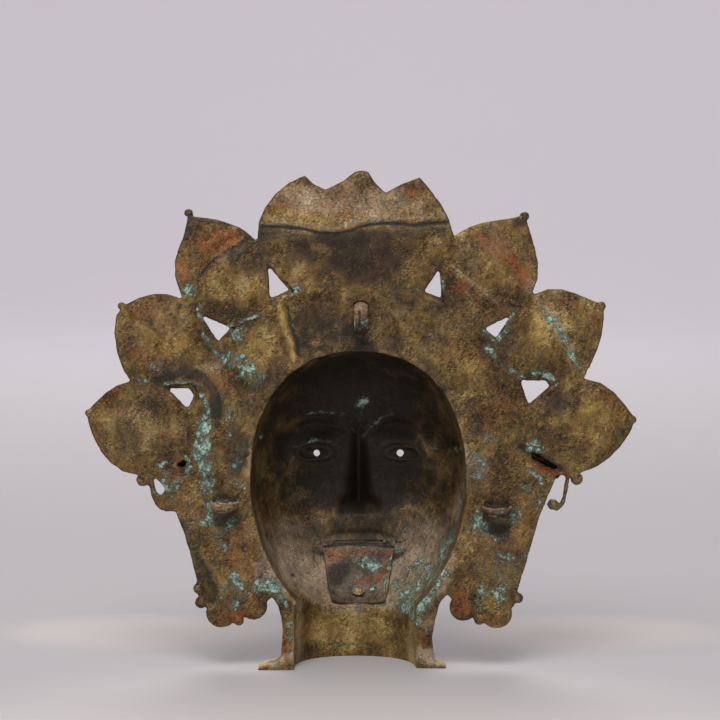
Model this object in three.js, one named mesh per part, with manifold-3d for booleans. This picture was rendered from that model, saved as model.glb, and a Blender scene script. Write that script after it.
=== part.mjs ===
// A cast brass bhuta mask that stands on its own flared neck.
// Millimetres, +Z up. The face looks along -Y; the back, with the hollow of the face, looks along +Y.
// The origin is on the table, at the middle of the mask's width and depth. The pieces are shaped with y
// counted from the plane of the flat back, and BACK_Y carries them to their place.
import * as THREE from 'three';
import { mergeVertices } from 'three/addons/utils/BufferGeometryUtils.js';
import Module from 'manifold-3d';

const wasm = await Module();
wasm.setup();

const BACK_Y = 41.5;

// Cast walls
const WALL = 3.2;
const RELIEF = 1.8;
const RIM_WIDTH = 5.5;
const RECESS = 1.2;
const FIT = 0.35;

// The oval of the face: an egg, widest at its middle height
const OVAL = { x: 2, z: 143, halfWidth: 83, above: 103, below: 117, upperPower: 2.3, lowerPower: 1.85 };
const FACE_DEPTH = 78;
const SIDE_FULLNESS = 3.2;
const JAW_FULLNESS = 4.4;

// The face on plain proportions: eyes, nose and mouth
const EYE = { x: 33, z: 158, halfWidth: 17, halfHeight: 8.5, bulge: 9, wall: 2.9, pupil: 2.8 };
const NOSE = { top: 172, tip: 117, base: 107, rise: 23, bridge: 5, halfWidth: 9.5, taper: 0.7, blend: 14 };
const MOUTH = { z: 87, halfWidth: 32, gap: 5, corner: 10 };
// Swells and hollows of both sides of the face: how far each stands out, its middle and its spread
const SWELLS = {
  nostril: { rise: 8, x: 11, z: 115, wide: 5.5, tall: 6 },
  brow: { rise: 5, x: 30, z: 178, wide: 24, tall: 8 },
  socket: { rise: -7, x: 32, z: 159, wide: 19, tall: 12 },
  cheek: { rise: 3.5, x: 44, z: 126, wide: 17, tall: 15 },
  mouth: { rise: 5, x: 0, z: 87, wide: 26, tall: 15 },
  chin: { rise: 6, x: 0, z: 56, wide: 17, tall: 11 },
  forehead: { rise: 3, x: 0, z: 215, wide: 50, tall: 26 },
};
// Raised lines of the face, as [x, z] from its middle line, thin at their ends
const LID = { reach: 16.5, upper: 8.6, lower: -7.6, ends: 0.9, swell: 2.2, sides: 4 };
const BROW_LINE = { points: [[11, 173], [24, 180], [40, 181], [58, 172]], ends: 1, swell: 2.6, sides: 4 };
const LIPS = [
  { points: [[-35, 87.5], [-14, 92], [0, 91], [14, 92], [35, 87.5]], ends: 1.2, swell: 4, sides: 6 },
  { points: [[-34, 86.5], [-14, 81], [0, 79.5], [14, 81], [34, 86.5]], ends: 1.2, swell: 5, sides: 6 },
];
const LINE_STEPS = 6;
const LINE_SINK = 0.4;

// Neck, a half tube open behind, and its flared foot
const NECK = {
  x: 4.5, halfWidth: 47, depth: 46, power: 2.2, shoulder: 50, top: 62, gather: -12, hollow: 50,
};
const NECK_STEPS = 12;
const FOOT = { height: 10, proud: 7, lip: 3 };
const BELOW = -5;
const TABLE = { width: 600, depth: 40 };

// Halo: notches between petals as [x, z], from the ear up to the crest, and the petals between them
const NOTCHES = {
  left: [[171, 151], [176, 223.5], [136, 286.5], [79, 330.5]],
  right: [[-169, 153], [-170, 225.5], [-130, 289.5], [-70.5, 334]],
};
const PETALS = {
  left: [
    { low: [[196.5, 153.5], [207, 177.5]], tip: [210.5, 199], high: [[201.5, 209.5], [190.5, 221]] },
    { low: [[187, 232], [194, 274]], tip: [182, 280.5], high: [[165, 291], [150, 293]] },
    { low: [[150.5, 319.5], [135, 322]], tip: [132, 349], high: [[116, 348], [93, 346]] },
  ],
  right: [
    { low: [[-189, 157], [-204, 174.5]], tip: [-210.5, 193], high: [[-200.5, 207], [-189.5, 224.5]] },
    { low: [[-180, 242], [-187, 261]], tip: [-185.5, 281], high: [[-167, 287.5], [-150, 301.5]] },
    { low: [[-142, 309], [-130, 330]], tip: [-125, 349.5], high: [[-105.5, 344.5], [-87, 348]] },
  ],
};
// The crest from its left notch: a curve to each peak and each dip between peaks
const CREST = [
  [[80.5, 352.5], [63.5, 373.5], [43, 380]],
  [[40, 375], [33, 371.5], [27, 369.5]],
  [[17, 372.5], [9, 378.5], [4, 383]],
  [[1.5, 384], [-2.5, 384], [-5, 383]],
  [[-8, 378.5], [-12, 371], [-18.5, 367]],
  [[-25, 371], [-37, 377], [-44.5, 378.5]],
  [[-56, 365.5], [-68, 351.5], [-70.5, 334]],
];
const CREST_GATHER = 0.6;
const CREST_FOOT_Z = 318;
const EDGE_STEP = 12;

// Piercings between the petals, as corner points
const PIERCINGS = [
  [[70.5, 311], [55, 293], [69.5, 287]],
  [[-59.5, 309], [-61, 287], [-48.5, 292]],
  [[122, 274], [99.5, 264], [109, 253.5]],
  [[-114, 273.5], [-103, 256.5], [-94.5, 263.5]],
  [[147.5, 217.5], [131.5, 217.5], [128, 212], [132.5, 202.5]],
  [[-122, 223.5], [-141, 223.5], [-144, 219.5], [-128, 205.5]],
];
const PIERCING_BORDER = 5;

// The dish of the halo: level around the hollow, nearest the back along the folds, tips bent forward
const LAND = 29;
const FOLD_Y = { notch: 4.5, petal: 8, crest: 9 };
const TIP_SLOPE = 0.28;
const DISH_REACH = 1.5;
const TIP_FOLD_REACH = 184;
const CREST_FOLD = [[38, 338.5], [3, 339.5], [-32, 338.5]];
const PANEL_SPOKES = {
  left: [[152, 138], [122, 55]],
  right: [[-150, 138], [-118, 55]],
};
const FOOT_SPOKES = [[-62, -12], [4, -14], [70, -12]];

// Side panels, down to the earrings and the neck, as [x, z]
const PANEL = {
  left: [[166, 146], [162.5, 141.5], [161, 134], [158.5, 128], [154.5, 123.5], [149, 122], [142.5, 122],
    [136.5, 106], [131.5, 89], [127, 72], [124.5, 50], [108, 44], [94, 41], [83, 44], [72, 52.5],
    [68.5, 56]],
  right: [[-164, 148], [-156.5, 150.5], [-150.5, 150.5], [-143, 133], [-137.5, 119], [-128.5, 88],
    [-121, 62], [-118, 48], [-104, 43], [-91, 40], [-79, 44], [-70, 54], [-66.5, 57.5]],
};
const NECK_EDGE = {
  left: [[64, 48.5], [61.5, 38.5], [60.5, 30], [62, 9], [63.5, -3]],
  right: [[-61.5, 52], [-57.5, 38.5], [-55, 24.5], [-55.5, 14], [-58.5, -3]],
};
const TOES = {
  left: { tip: 79, back: 8, front: -9, side: 1, from: 50 },
  right: { tip: -65.5, back: 1.5, front: -13, side: -1, from: -41 },
};
// Upper line of a toe, as [inwards from its tip, z]
const TOE_LINE = [[-0.4, 1.2], [4, 3.3], [14, 5.8], [19, 10.5]];

// Ear curls beside the notches: a pierced plate on the left, a rod that ends in a ball on the right
const CURL_HOLE = [[159.5, 150], [152.5, 143], [150.5, 139], [153.5, 135], [157, 137.5]];
const CURL_ROD = {
  points: [[-158.5, 2.2, 152.5], [-156.5, 0, 136], [-154, -1.6, 128], [-149, -1.6, 123.5]],
  radius: 2.1,
};
const CURL_BALL = { x: -147.5, z: 127.5, radius: 5 };
const SLITS = [
  [[142, 158], [135, 163.5], [133, 160], [136, 156.5]],
  [[-130.5, 169.5], [-152.5, 156.5], [-148, 155.5], [-131, 163.5]],
];

// Earrings: two drops a side with small beads between and beside them, as [x, z, radius]
const DROPS = [[107.5, 43.5, 12], [83, 48.5, 10.8], [-104.5, 43, 12.2], [-78.8, 47.6, 10.6]];
const DROP = { rim: 4.2, face: 0.72, shoulder: 9, depth: 11, sides: 10 };
const BEADS = [[125.2, 62, 4], [123.5, 51, 4.6], [94.5, 37, 4.2], [-121, 54.5, 4.4], [-91.5, 38, 4.6],
  [167.5, 146.5, 5], [-165.5, 147.5, 5.2]];
const TIP_KNOBS = [[131.5, 351, 3.6], [-124.6, 348.6, 3.6], [183, 280.5, 3.2], [-183.5, 280, 3.8],
  [208.5, 198.5, 3.2], [-208, 193, 3.2], [0, 380, 4]];

// Crown band over the brow, its beads and boss, and the leaves on the crest
const CROWN = {
  inner: 0.5, outer: 14, proud: 17, from: 4, to: 176, steps: 12, beads: 11, bead: 4.8, inset: 6,
};
const BOSS = { z: 256, radius: 11, proud: 24, face: 0.6, shoulder: 2, dome: 2 };
const LEAVES = [[0, 296, 15, 74], [41, 300, 14, 66], [-41, 300, 14, 65]];
// Half a leaf, as shares of its half width and height
const LEAF_HALF = [[0.45, 0], [0.9, 0.14], [1, 0.34], [0.86, 0.56], [0.5, 0.8]];
// Midrib of a petal: where it starts and is widest behind the petal's foot, and half its width
const MIDRIB = { from: -38, widest: -10, half: 3.2, short: 3 };

// Ears, at the sides of the face between brow and nose base
const EAR = { x: 94, z: 140, height: 54, width: 17, proud: 13, rim: 3.2, steps: 8, sides: 5 };
// Outline of an ear from its lobe round its rim, as shares of its width and height
const EAR_SHELL = [
  [-0.35, -0.5], [0.2, -0.42], [0.62, 0.02], [0.6, 0.36], [0.2, 0.5], [-0.3, 0.42], [-0.5, 0.1],
];
const LOBE = { rise: 4, half: 8, outer: 8.5, inner: 0.5, to: 56, proud: 7.8 };
const NECKLACES = [{ z: 15, radius: 2.6 }, { z: 24, radius: 3.2 }];

// Cord loops: their reach behind the back, and each loop's place, the drop of its crown, the spread of
// its legs, and its flattened rod's half thickness and half width
const LOOP = { reach: 12.6, base: 3, socket: 1.3, steps: 7, sides: 8 };
const LOOPS = [
  { name: 'loop_top', x: 0, z: 271.5, upright: true, drop: 0, halfSpan: 8.7, radius: 3.7, wide: 5.2 },
  { name: 'loop_left', x: 104.5, z: 128, upright: false, drop: 2, halfSpan: 6.7, radius: 3.3, wide: 5.4 },
  { name: 'loop_right', x: -104.5, z: 125, upright: false, drop: 1, halfSpan: 7.4, radius: 3.3, wide: 4 },
];

// Tongue plate and its rivet
const TONGUE = { thickness: 1.8, top: 28.5, bottom: 20, follow: 0.6, clear: 3.2 };
const TONGUE_SHARES = [-1, -0.6, 0, 0.6, 1];
// Heights of the plate inside the hollow, from its lower edge up
const TONGUE_INSIDE = [42, 46, 52, 60, 69, 78, 82];
// The tongue outside, from the lips down, as [below the mouth, ahead of the lips, half width]
const TONGUE_OUTSIDE = [
  [1, 11, 18], [7, 13.5, 17], [18, 13.5, 17], [29, 10.5, 15.5], [36, 8, 12], [39.5, 7, 6],
];
const RIVET = { x: 0, z: 49, shaft: 2.5, head: 5.2, headHeight: 2.2, stand: 1, reach: 12, sides: 12 };

// Finishes
const BRASS = { color: 0x6e5426, roughness: 0.62, metalness: 0.75 };
const COPPER = { color: 0x7a4228, roughness: 0.6, metalness: 0.75 };
const IRON_BROWN = { color: 0x5b4a3c, roughness: 0.75, metalness: 0.5 };

// Solid and geometry helpers

/** Six times the signed volume of an indexed closed mesh. */
function signedVolume(position, index) {
  const [a, b, c] = [new THREE.Vector3(), new THREE.Vector3(), new THREE.Vector3()];
  let sum = 0;
  for (let i = 0; i < index.count; i += 3) {
    a.fromBufferAttribute(position, index.getX(i));
    b.fromBufferAttribute(position, index.getX(i + 1));
    c.fromBufferAttribute(position, index.getX(i + 2));
    sum += a.dot(b.cross(c));
  }
  return sum;
}

/** A closed geometry as a solid that can be joined and cut. */
function solid(geometry) {
  geometry.deleteAttribute('normal');
  geometry.deleteAttribute('uv');
  const merged = mergeVertices(geometry, 1e-3);
  const triVerts = new Uint32Array(merged.index.array);
  if (signedVolume(merged.attributes.position, merged.index) < 0) triVerts.reverse();
  const vertProperties = new Float32Array(merged.attributes.position.array);
  return new wasm.Manifold(new wasm.Mesh({ numProp: 3, vertProperties, triVerts }));
}

function join(solids) {
  return solids.reduce((whole, piece) => whole.add(piece));
}

/** A named mesh from a solid. */
function meshOf(name, body, finish) {
  const { vertProperties, triVerts } = body.getMesh();
  const geometry = new THREE.BufferGeometry();
  geometry.setAttribute('position', new THREE.BufferAttribute(new Float32Array(vertProperties), 3));
  geometry.setIndex(new THREE.BufferAttribute(new Uint32Array(triVerts), 1));
  geometry.computeVertexNormals();
  const mesh = new THREE.Mesh(geometry, new THREE.MeshStandardMaterial({ ...finish, flatShading: true }));
  mesh.name = name;
  mesh.position.y = BACK_Y;
  return mesh;
}

/** A closed skin over a row of rings of equal count. The first and last may be a single point. */
function loft(rings) {
  const points = rings.flat();
  const starts = [];
  rings.reduce((at, ring) => { starts.push(at); return at + ring.length; }, 0);
  const faces = [];
  for (let r = 0; r + 1 < rings.length; r += 1) {
    const count = Math.max(rings[r].length, rings[r + 1].length);
    for (let i = 0; i < count; i += 1) {
      const next = (i + 1) % count;
      const low = (k) => starts[r] + (rings[r].length === 1 ? 0 : k);
      const high = (k) => starts[r + 1] + (rings[r + 1].length === 1 ? 0 : k);
      if (rings[r].length > 1) faces.push(low(i), low(next), high(next));
      if (rings[r + 1].length > 1) faces.push(low(i), high(next), high(i));
    }
  }
  const geometry = new THREE.BufferGeometry();
  geometry.setAttribute('position', new THREE.Float32BufferAttribute(points.flatMap((p) => p.toArray()), 3));
  geometry.setIndex(faces);
  return solid(geometry);
}

function middle(ring) {
  return ring.reduce((sum, p) => sum.add(p), new THREE.Vector3()).divideScalar(ring.length);
}

/** A skin over rings, closed at both ends by a fan. */
function capped(rings) {
  return loft([[middle(rings[0])], ...rings, [middle(rings.at(-1))]]);
}

/** A flat outline of [x, z] points, as thick as from one depth to another. */
function prism(outline, back, front) {
  const shape = new THREE.Shape(outline.map(([x, z]) => new THREE.Vector2(x, z)));
  const geometry = new THREE.ExtrudeGeometry(shape, { depth: back - front, bevelEnabled: false });
  return solid(geometry.rotateX(Math.PI / 2).translate(0, back, 0));
}

/** A rod along points, with a radius that may change. The across direction lies off its path, and the rod
 * may be wider that way. */
function rod(path, radius, sides, across, stretch = 1) {
  const rings = path.map((point, i) => {
    const before = path[Math.max(i - 1, 0)];
    const after = path[Math.min(i + 1, path.length - 1)];
    const along = after.clone().sub(before).normalize();
    const u = across.clone().cross(along).normalize();
    const v = along.clone().cross(u);
    const r = radius(i / (path.length - 1));
    return Array.from({ length: sides }, (_, k) => {
      const turn = (2 * Math.PI * k) / sides;
      const [out, aside] = [r * Math.cos(turn), r * stretch * Math.sin(turn)];
      return point.clone().addScaledVector(u, out).addScaledVector(v, aside);
    });
  });
  return capped(rings);
}

const BALL_SIDES = 6;
const BALL_ROWS = 4;

function ball(x, y, z, radius) {
  return solid(new THREE.SphereGeometry(radius, BALL_SIDES, BALL_ROWS).translate(x, y, z));
}

/** A turned button whose axis is Y. Its profile is a list of [radius, depth], closed on the axis. */
function turned(profile, x, z, segments) {
  const points = profile.map(([r, y]) => new THREE.Vector2(r, y));
  return solid(new THREE.LatheGeometry(points, segments).translate(x, 0, z));
}

const ALONG_Y = new THREE.Vector3(0, 1, 0);

// The face

const OUTER_SKIN = { grow: WALL, depth: FACE_DEPTH, thin: 0 };
const INNER_SKIN = { grow: 0, depth: FACE_DEPTH - WALL, thin: 2.4 };

/** A point of the oval's edge, seen from its middle, grown outwards by some millimetres. */
function ovalPoint(angle, grow) {
  const [c, s] = [Math.cos(angle), Math.sin(angle)];
  const power = s >= 0 ? OVAL.upperPower : OVAL.lowerPower;
  const height = (s >= 0 ? OVAL.above : OVAL.below) + grow;
  const reach = (Math.abs(c) / (OVAL.halfWidth + grow)) ** power + (Math.abs(s) / height) ** power;
  const radius = reach ** (-1 / power);
  return [radius * c, radius * s];
}

function swell(side, height, { rise, x, z, wide, tall }) {
  return rise * Math.exp(-(((side - x) / wide) ** 2) - ((height - z) / tall) ** 2);
}

function smoothStep(from, to, value) {
  const t = THREE.MathUtils.clamp((value - from) / (to - from), 0, 1);
  return t * t * (3 - 2 * t);
}

/** How far the features stand out from the plain oval. */
function features(x, z, thin) {
  const { top, tip, base, rise, bridge, halfWidth, taper, blend } = NOSE;
  const grown = smoothStep(top, tip, z);
  const ends = smoothStep(base, tip, z) * (1 - smoothStep(top, top + blend, z));
  const width = halfWidth * (taper + (1 - taper) * grown) - thin;
  const nose = (bridge + (rise - bridge) * grown) * ends * Math.exp(-((x / width) ** 2));
  return Object.values(SWELLS).reduce((sum, each) => sum + swell(Math.abs(x), z, each), nose);
}

/** Depth of the plain oval at a fraction of the way from its middle to its edge. */
function ovalDepth(angle, fraction, depth) {
  const fullness = SIDE_FULLNESS + (JAW_FULLNESS - SIDE_FULLNESS) * Math.max(0, -Math.sin(angle));
  return depth * Math.sqrt(Math.max(0, 1 - Math.min(fraction, 1) ** fullness));
}

/** Depth of a skin of the face, at x from its middle line and at a height, with a share of its features. */
function skinY(x, z, skin, share = 1) {
  const angle = Math.atan2(z - OVAL.z, x);
  const fraction = Math.hypot(x, z - OVAL.z) / Math.hypot(...ovalPoint(angle, skin.grow));
  const raised = share * (1 - Math.min(fraction, 1) ** 6) * features(x, z, skin.thin);
  return -ovalDepth(angle, fraction, skin.depth) - raised;
}

const FACE_RINGS = [0.9999, 0.98, 0.92, 0.84, 0.745, 0.65, 0.555, 0.46, 0.365, 0.265, 0.14];
const FACE_SEGMENTS = { outer: 36, inner: 28 };

/** One skin of the face as a closed solid from a back plane forward. */
function faceSolid(back, skin, segments) {
  const angles = Array.from({ length: segments }, (_, i) => ((i + 0.5) * 2 * Math.PI) / segments);
  const edge = angles.map((angle) => ovalPoint(angle, skin.grow));
  const rings = FACE_RINGS.map((fraction) => edge.map(([dx, dz]) => {
    const [x, z] = [dx * fraction, OVAL.z + dz * fraction];
    return new THREE.Vector3(OVAL.x + x, skinY(x, z, skin), z);
  }));
  const rim = edge.map(([dx, dz]) => new THREE.Vector3(OVAL.x + dx, back, OVAL.z + dz));
  const backMiddle = new THREE.Vector3(OVAL.x, back, OVAL.z);
  const frontMiddle = new THREE.Vector3(OVAL.x, skinY(0, OVAL.z, skin), OVAL.z);
  return loft([[backMiddle], rim, ...rings, [frontMiddle]]);
}

/** A rod that lies on the face along [x, z] points. Its radius swells from its ends to its middle. */
function faceLine({ points, ends, swell: middleRadius, sides }) {
  const curve = new THREE.SplineCurve(points.map(([x, z]) => new THREE.Vector2(x, z)));
  const path = curve.getPoints(LINE_STEPS).map(({ x, y: z }) => (
    new THREE.Vector3(OVAL.x + x, skinY(x, z, OUTER_SKIN) - LINE_SINK, z)));
  return rod(path, (t) => ends + (middleRadius - ends) * Math.sin(Math.PI * t), sides, ALONG_Y);
}

/** An almond eyeball, or the smaller hollow behind it. */
function eyeball(side, inset) {
  const surface = skinY(EYE.x, EYE.z, OUTER_SKIN);
  const shape = new THREE.SphereGeometry(1, 12, 6);
  shape.scale(EYE.halfWidth - inset, EYE.bulge - inset, EYE.halfHeight - inset);
  return solid(shape.translate(OVAL.x + side * EYE.x, surface + EYE.bulge / 2, EYE.z));
}

function eyelid(side, bulge) {
  const points = [0, 45, 90, 135, 180].map((degrees) => {
    const turn = THREE.MathUtils.degToRad(degrees);
    return [side * EYE.x + LID.reach * Math.cos(turn), EYE.z + bulge * Math.sin(turn)];
  });
  return faceLine({ ...LID, points });
}

function faceRelief() {
  const sides = [1, -1].flatMap((side) => {
    const brow = BROW_LINE.points.map(([x, z]) => [side * x, z]);
    return [eyeball(side, 0), eyelid(side, LID.upper), eyelid(side, LID.lower),
      faceLine({ ...BROW_LINE, points: brow })];
  });
  return [...sides, ...LIPS.map(faceLine)];
}

function mouthSlit() {
  const { z, halfWidth, gap, corner } = MOUTH;
  const flat = halfWidth - corner;
  const outline = [[-halfWidth, 0], [-flat, gap / 2], [flat, gap / 2], [halfWidth, 0], [flat, -gap / 2],
    [-flat, -gap / 2]];
  return prism(outline.map(([x, rise]) => [OVAL.x + x, z + rise]), -FACE_DEPTH / 2, -2 * FACE_DEPTH);
}

function circleOutline(x, z, radius, segments) {
  return Array.from({ length: segments }, (_, i) => {
    const turn = ((i + 0.5) * 2 * Math.PI) / segments;
    return [x + radius * Math.cos(turn), z + radius * Math.sin(turn)];
  });
}

// The halo

function curvePoints(from, [first, second, to]) {
  const corners = [from, first, second, to].map(([x, z]) => new THREE.Vector2(x, z));
  const curve = new THREE.CubicBezierCurve(...corners);
  const steps = Math.max(2, Math.round(curve.getLength() / EDGE_STEP));
  return curve.getPoints(steps).map(({ x, y }) => [x, y]);
}

/** The two edges of a petal, from its lower notch to its tip and from its tip to its upper notch. */
function petalEdges(side, k) {
  const { low, tip, high } = PETALS[side][k];
  return [curvePoints(NOTCHES[side][k], [...low, tip]), curvePoints(tip, [...high, NOTCHES[side][k + 1]])];
}

function crestEdges() {
  let from = NOTCHES.left[3];
  return CREST.map((curve) => {
    const edge = curvePoints(from, curve);
    from = curve[2];
    return edge;
  });
}

function haloOutline() {
  const petals = (side) => (
    [0, 1, 2].flatMap((k) => petalEdges(side, k)).flatMap((edge) => edge.slice(0, -1)));
  const left = [...NECK_EDGE.left.toReversed(), ...PANEL.left.toReversed(), ...petals('left')];
  const right = [...NECK_EDGE.right.toReversed(), ...PANEL.right.toReversed(), ...petals('right')];
  const crest = crestEdges().flatMap((edge) => edge.slice(0, -1));
  return [...left, ...crest, NOTCHES.right[3], ...right.toReversed()];
}

/** Fold points of the dish, counter-clockwise from the foot, as [x, y, z, slope beyond]. */
function foldPoints() {
  const level = (points) => points.map(([x, z]) => [x, 0, z, 0]);
  const petals = (side) => NOTCHES[side].flatMap(([x, z], k) => {
    const notch = [x, FOLD_Y.notch, z, TIP_SLOPE];
    const next = NOTCHES[side][k + 1];
    if (!next) return [notch];
    return [notch, [(x + next[0]) / 2, FOLD_Y.petal, (z + next[1]) / 2, TIP_SLOPE]];
  });
  return [
    ...level(FOOT_SPOKES.slice(1)), ...level(PANEL_SPOKES.left.toReversed()), ...petals('left'),
    ...CREST_FOLD.map(([x, z]) => [x, FOLD_Y.crest, z, TIP_SLOPE]),
    ...petals('right').toReversed(), ...level(PANEL_SPOKES.right), ...level(FOOT_SPOKES.slice(0, 1)),
  ];
}

/** A layer that follows the dish, from some way behind its back face to some way in front of it. */
function dish(behind, ahead) {
  const folds = foldPoints();
  const land = folds.map(([x, , z]) => {
    const [dx, dz] = ovalPoint(Math.atan2(z - OVAL.z, x - OVAL.x), LAND);
    return new THREE.Vector3(OVAL.x + dx, 0, OVAL.z + dz);
  });
  const fold = folds.map(([x, y, z]) => new THREE.Vector3(x, y, z));
  const beyond = folds.map(([x, y, z, slope]) => {
    const [dx, dz] = [(x - OVAL.x) * (DISH_REACH - 1), (z - OVAL.z) * (DISH_REACH - 1)];
    return new THREE.Vector3(x + dx, y - slope * Math.hypot(dx, dz), z + dz);
  });
  const rings = [[new THREE.Vector3(OVAL.x, 0, OVAL.z)], land, fold, beyond];
  const moved = (by) => rings.map((ring) => ring.map((p) => p.clone().setY(p.y + by)));
  return loft([...moved(behind), ...moved(-ahead).toReversed()]);
}

const FAR_BACK = 60;
const FAR_FRONT = -90;

function haloPlate() {
  const holes = [...PIERCINGS, CURL_HOLE, ...SLITS].map((outline) => prism(outline, FAR_BACK, FAR_FRONT));
  return prism(haloOutline(), FAR_BACK, FAR_FRONT).subtract(join(holes)).intersect(dish(0, WALL));
}

/** A band along an edge, towards the middle that each of its points faces. */
function edgeBand(edge, facing) {
  const inner = edge.map(([x, z]) => {
    const [cx, cz] = facing(x, z);
    const inward = new THREE.Vector2(cx - x, cz - z).setLength(RIM_WIDTH);
    return [x + inward.x, z + inward.y];
  });
  return prism([...edge, ...inner.toReversed()], FAR_BACK, FAR_FRONT);
}

function petalRelief(side, k) {
  const [low, high] = petalEdges(side, k);
  const [foot, tip, head] = [NOTCHES[side][k], PETALS[side][k].tip, NOTCHES[side][k + 1]];
  const root = [(foot[0] + head[0]) / 2, (foot[1] + head[1]) / 2];
  const centre = [(root[0] + tip[0]) / 2, (root[1] + tip[1]) / 2];
  const along = new THREE.Vector2(tip[0] - root[0], tip[1] - root[1]).normalize();
  const at = (forward, across) => [
    root[0] + forward * along.x - across * along.y, root[1] + forward * along.y + across * along.x];
  const reach = Math.hypot(tip[0] - root[0], tip[1] - root[1]);
  const { from, widest, half, short } = MIDRIB;
  const midrib = [at(from, 0), at(widest, -half), at(reach - short, 0), at(widest, half)];
  const rims = [low.slice(1), high.slice(0, -1)].map((edge) => edgeBand(edge, () => centre));
  return [...rims, prism(midrib, FAR_BACK, FAR_FRONT)];
}

/** Leaf outline that stands on its foot and narrows to a point. */
function leafOutline([x, z, halfWidth, height]) {
  const right = LEAF_HALF.map(([w, h]) => [x + w * halfWidth, z + h * height]);
  const left = LEAF_HALF.map(([w, h]) => [x - w * halfWidth, z + h * height]).toReversed();
  return [...right, [x, z + height], ...left];
}

function crestRelief() {
  const edge = crestEdges().flatMap((piece) => piece.slice(1)).slice(0, -1);
  const rim = edgeBand(edge, (x) => [OVAL.x + CREST_GATHER * (x - OVAL.x), CREST_FOOT_Z]);
  return [rim, ...LEAVES.map((leaf) => prism(leafOutline(leaf), FAR_BACK, FAR_FRONT))];
}

function haloRelief() {
  const bands = ['left', 'right'].flatMap((side) => [0, 1, 2].flatMap((k) => petalRelief(side, k)));
  const raised = join([...bands, ...crestRelief()]);
  return raised.intersect(dish(-1, WALL + RELIEF));
}

/** The shallow border around each piercing, on the back. */
function piercingBorders() {
  const borders = PIERCINGS.map((outline) => {
    const centre = [0, 1].map((axis) => outline.reduce((sum, p) => sum + p[axis], 0) / outline.length);
    const grown = outline.map((p) => {
      const away = new THREE.Vector2(p[0] - centre[0], p[1] - centre[1]);
      const factor = 1 + PIERCING_BORDER / away.length();
      return [centre[0] + away.x * factor, centre[1] + away.y * factor];
    });
    return prism(grown, FAR_BACK, FAR_FRONT);
  });
  return join(borders).intersect(dish(FAR_BACK / 2, RECESS));
}

// Crown, ears, earrings and curls

/** A point on the crown's arc, from one ear over the brow to the other. */
function crownPoint(share, inset, grow) {
  const { from, to } = CROWN;
  const degrees = from + inset + (to - from - 2 * inset) * share;
  const [dx, dz] = ovalPoint(THREE.MathUtils.degToRad(degrees), grow);
  return [OVAL.x + dx, OVAL.z + dz];
}

function crown() {
  const { inner, outer, proud, steps, beads, bead, inset } = CROWN;
  const arc = (grow) => Array.from({ length: steps + 1 }, (_, i) => crownPoint(i / steps, 0, grow));
  const band = prism([...arc(outer), ...arc(inner).toReversed()], -1, -proud);
  const row = Array.from({ length: beads }, (_, i) => {
    const [x, z] = crownPoint(i / (beads - 1), inset, (inner + outer) / 2);
    return ball(x, -proud, z, bead);
  });
  const profile = [[0, -1], [BOSS.radius, -1], [BOSS.radius, -proud - BOSS.shoulder],
    [BOSS.radius * BOSS.face, -BOSS.proud], [0, -BOSS.proud - BOSS.dome]];
  return [band, ...row, turned(profile, OVAL.x, BOSS.z, 14)];
}

/** An ear with its rim, and the long lobe that carries the earring. */
function ear(side) {
  const x0 = OVAL.x + side * EAR.x;
  const shell = EAR_SHELL.map(([u, v]) => [x0 + side * u * EAR.width, EAR.z + v * EAR.height]);
  const path = shell.slice(0, -1).map(([x, z]) => new THREE.Vector3(x, -EAR.proud, z));
  const rim = new THREE.CatmullRomCurve3(path).getPoints(EAR.steps);
  const top = EAR.z - EAR.height / 2 + LOBE.rise;
  const lobe = [[-LOBE.half, top], [LOBE.half, top], [LOBE.outer, LOBE.to], [-LOBE.inner, LOBE.to]]
    .map(([across, z]) => [x0 + side * across, z]);
  return [prism(shell, -1, -EAR.proud), rod(rim, () => EAR.rim, EAR.sides, ALONG_Y),
    prism(lobe, -1, -LOBE.proud)];
}

function earring([x, z, radius]) {
  const { rim, face, shoulder, depth, sides } = DROP;
  const profile = [[0, 0], [radius, 0], [radius, -rim], [radius * face, -shoulder], [0, -depth]];
  return turned(profile, x, z, sides);
}

function smallBead([x, z, radius]) {
  return ball(x, -radius * 0.5, z, radius);
}

/** A knob on the tip of a petal, at the depth to which the tip is bent. */
function tipKnob([x, z, radius]) {
  const reach = Math.hypot(x - OVAL.x, z - OVAL.z);
  const bend = Math.max(0, reach - TIP_FOLD_REACH);
  return ball(x, FOLD_Y.petal - TIP_SLOPE * bend - WALL / 2, z, radius);
}

function curlRod() {
  const path = CURL_ROD.points.map((point) => new THREE.Vector3(...point));
  const curve = new THREE.CatmullRomCurve3(path).getPoints(7);
  const end = ball(CURL_BALL.x, -WALL / 2, CURL_BALL.z, CURL_BALL.radius);
  return [rod(curve, () => CURL_ROD.radius, 6, ALONG_Y), end];
}

// The neck and its foot

/** A level section of the neck: the half tube's curve in front and a straight line behind. */
function neckSection(z, grow, back) {
  const curve = Array.from({ length: NECK_STEPS + 1 }, (_, i) => {
    const turn = (Math.PI * i) / NECK_STEPS;
    const [c, s] = [Math.cos(turn), Math.sin(turn)];
    const power = 2 / NECK.power;
    const x = NECK.x + Math.sign(c) * (NECK.halfWidth + grow) * Math.abs(c) ** power;
    return new THREE.Vector3(x, -(NECK.depth + grow) * Math.abs(s) ** power, z);
  });
  const wide = NECK.halfWidth + grow;
  return [...curve, new THREE.Vector3(NECK.x - wide, back, z), new THREE.Vector3(NECK.x + wide, back, z)];
}

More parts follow.
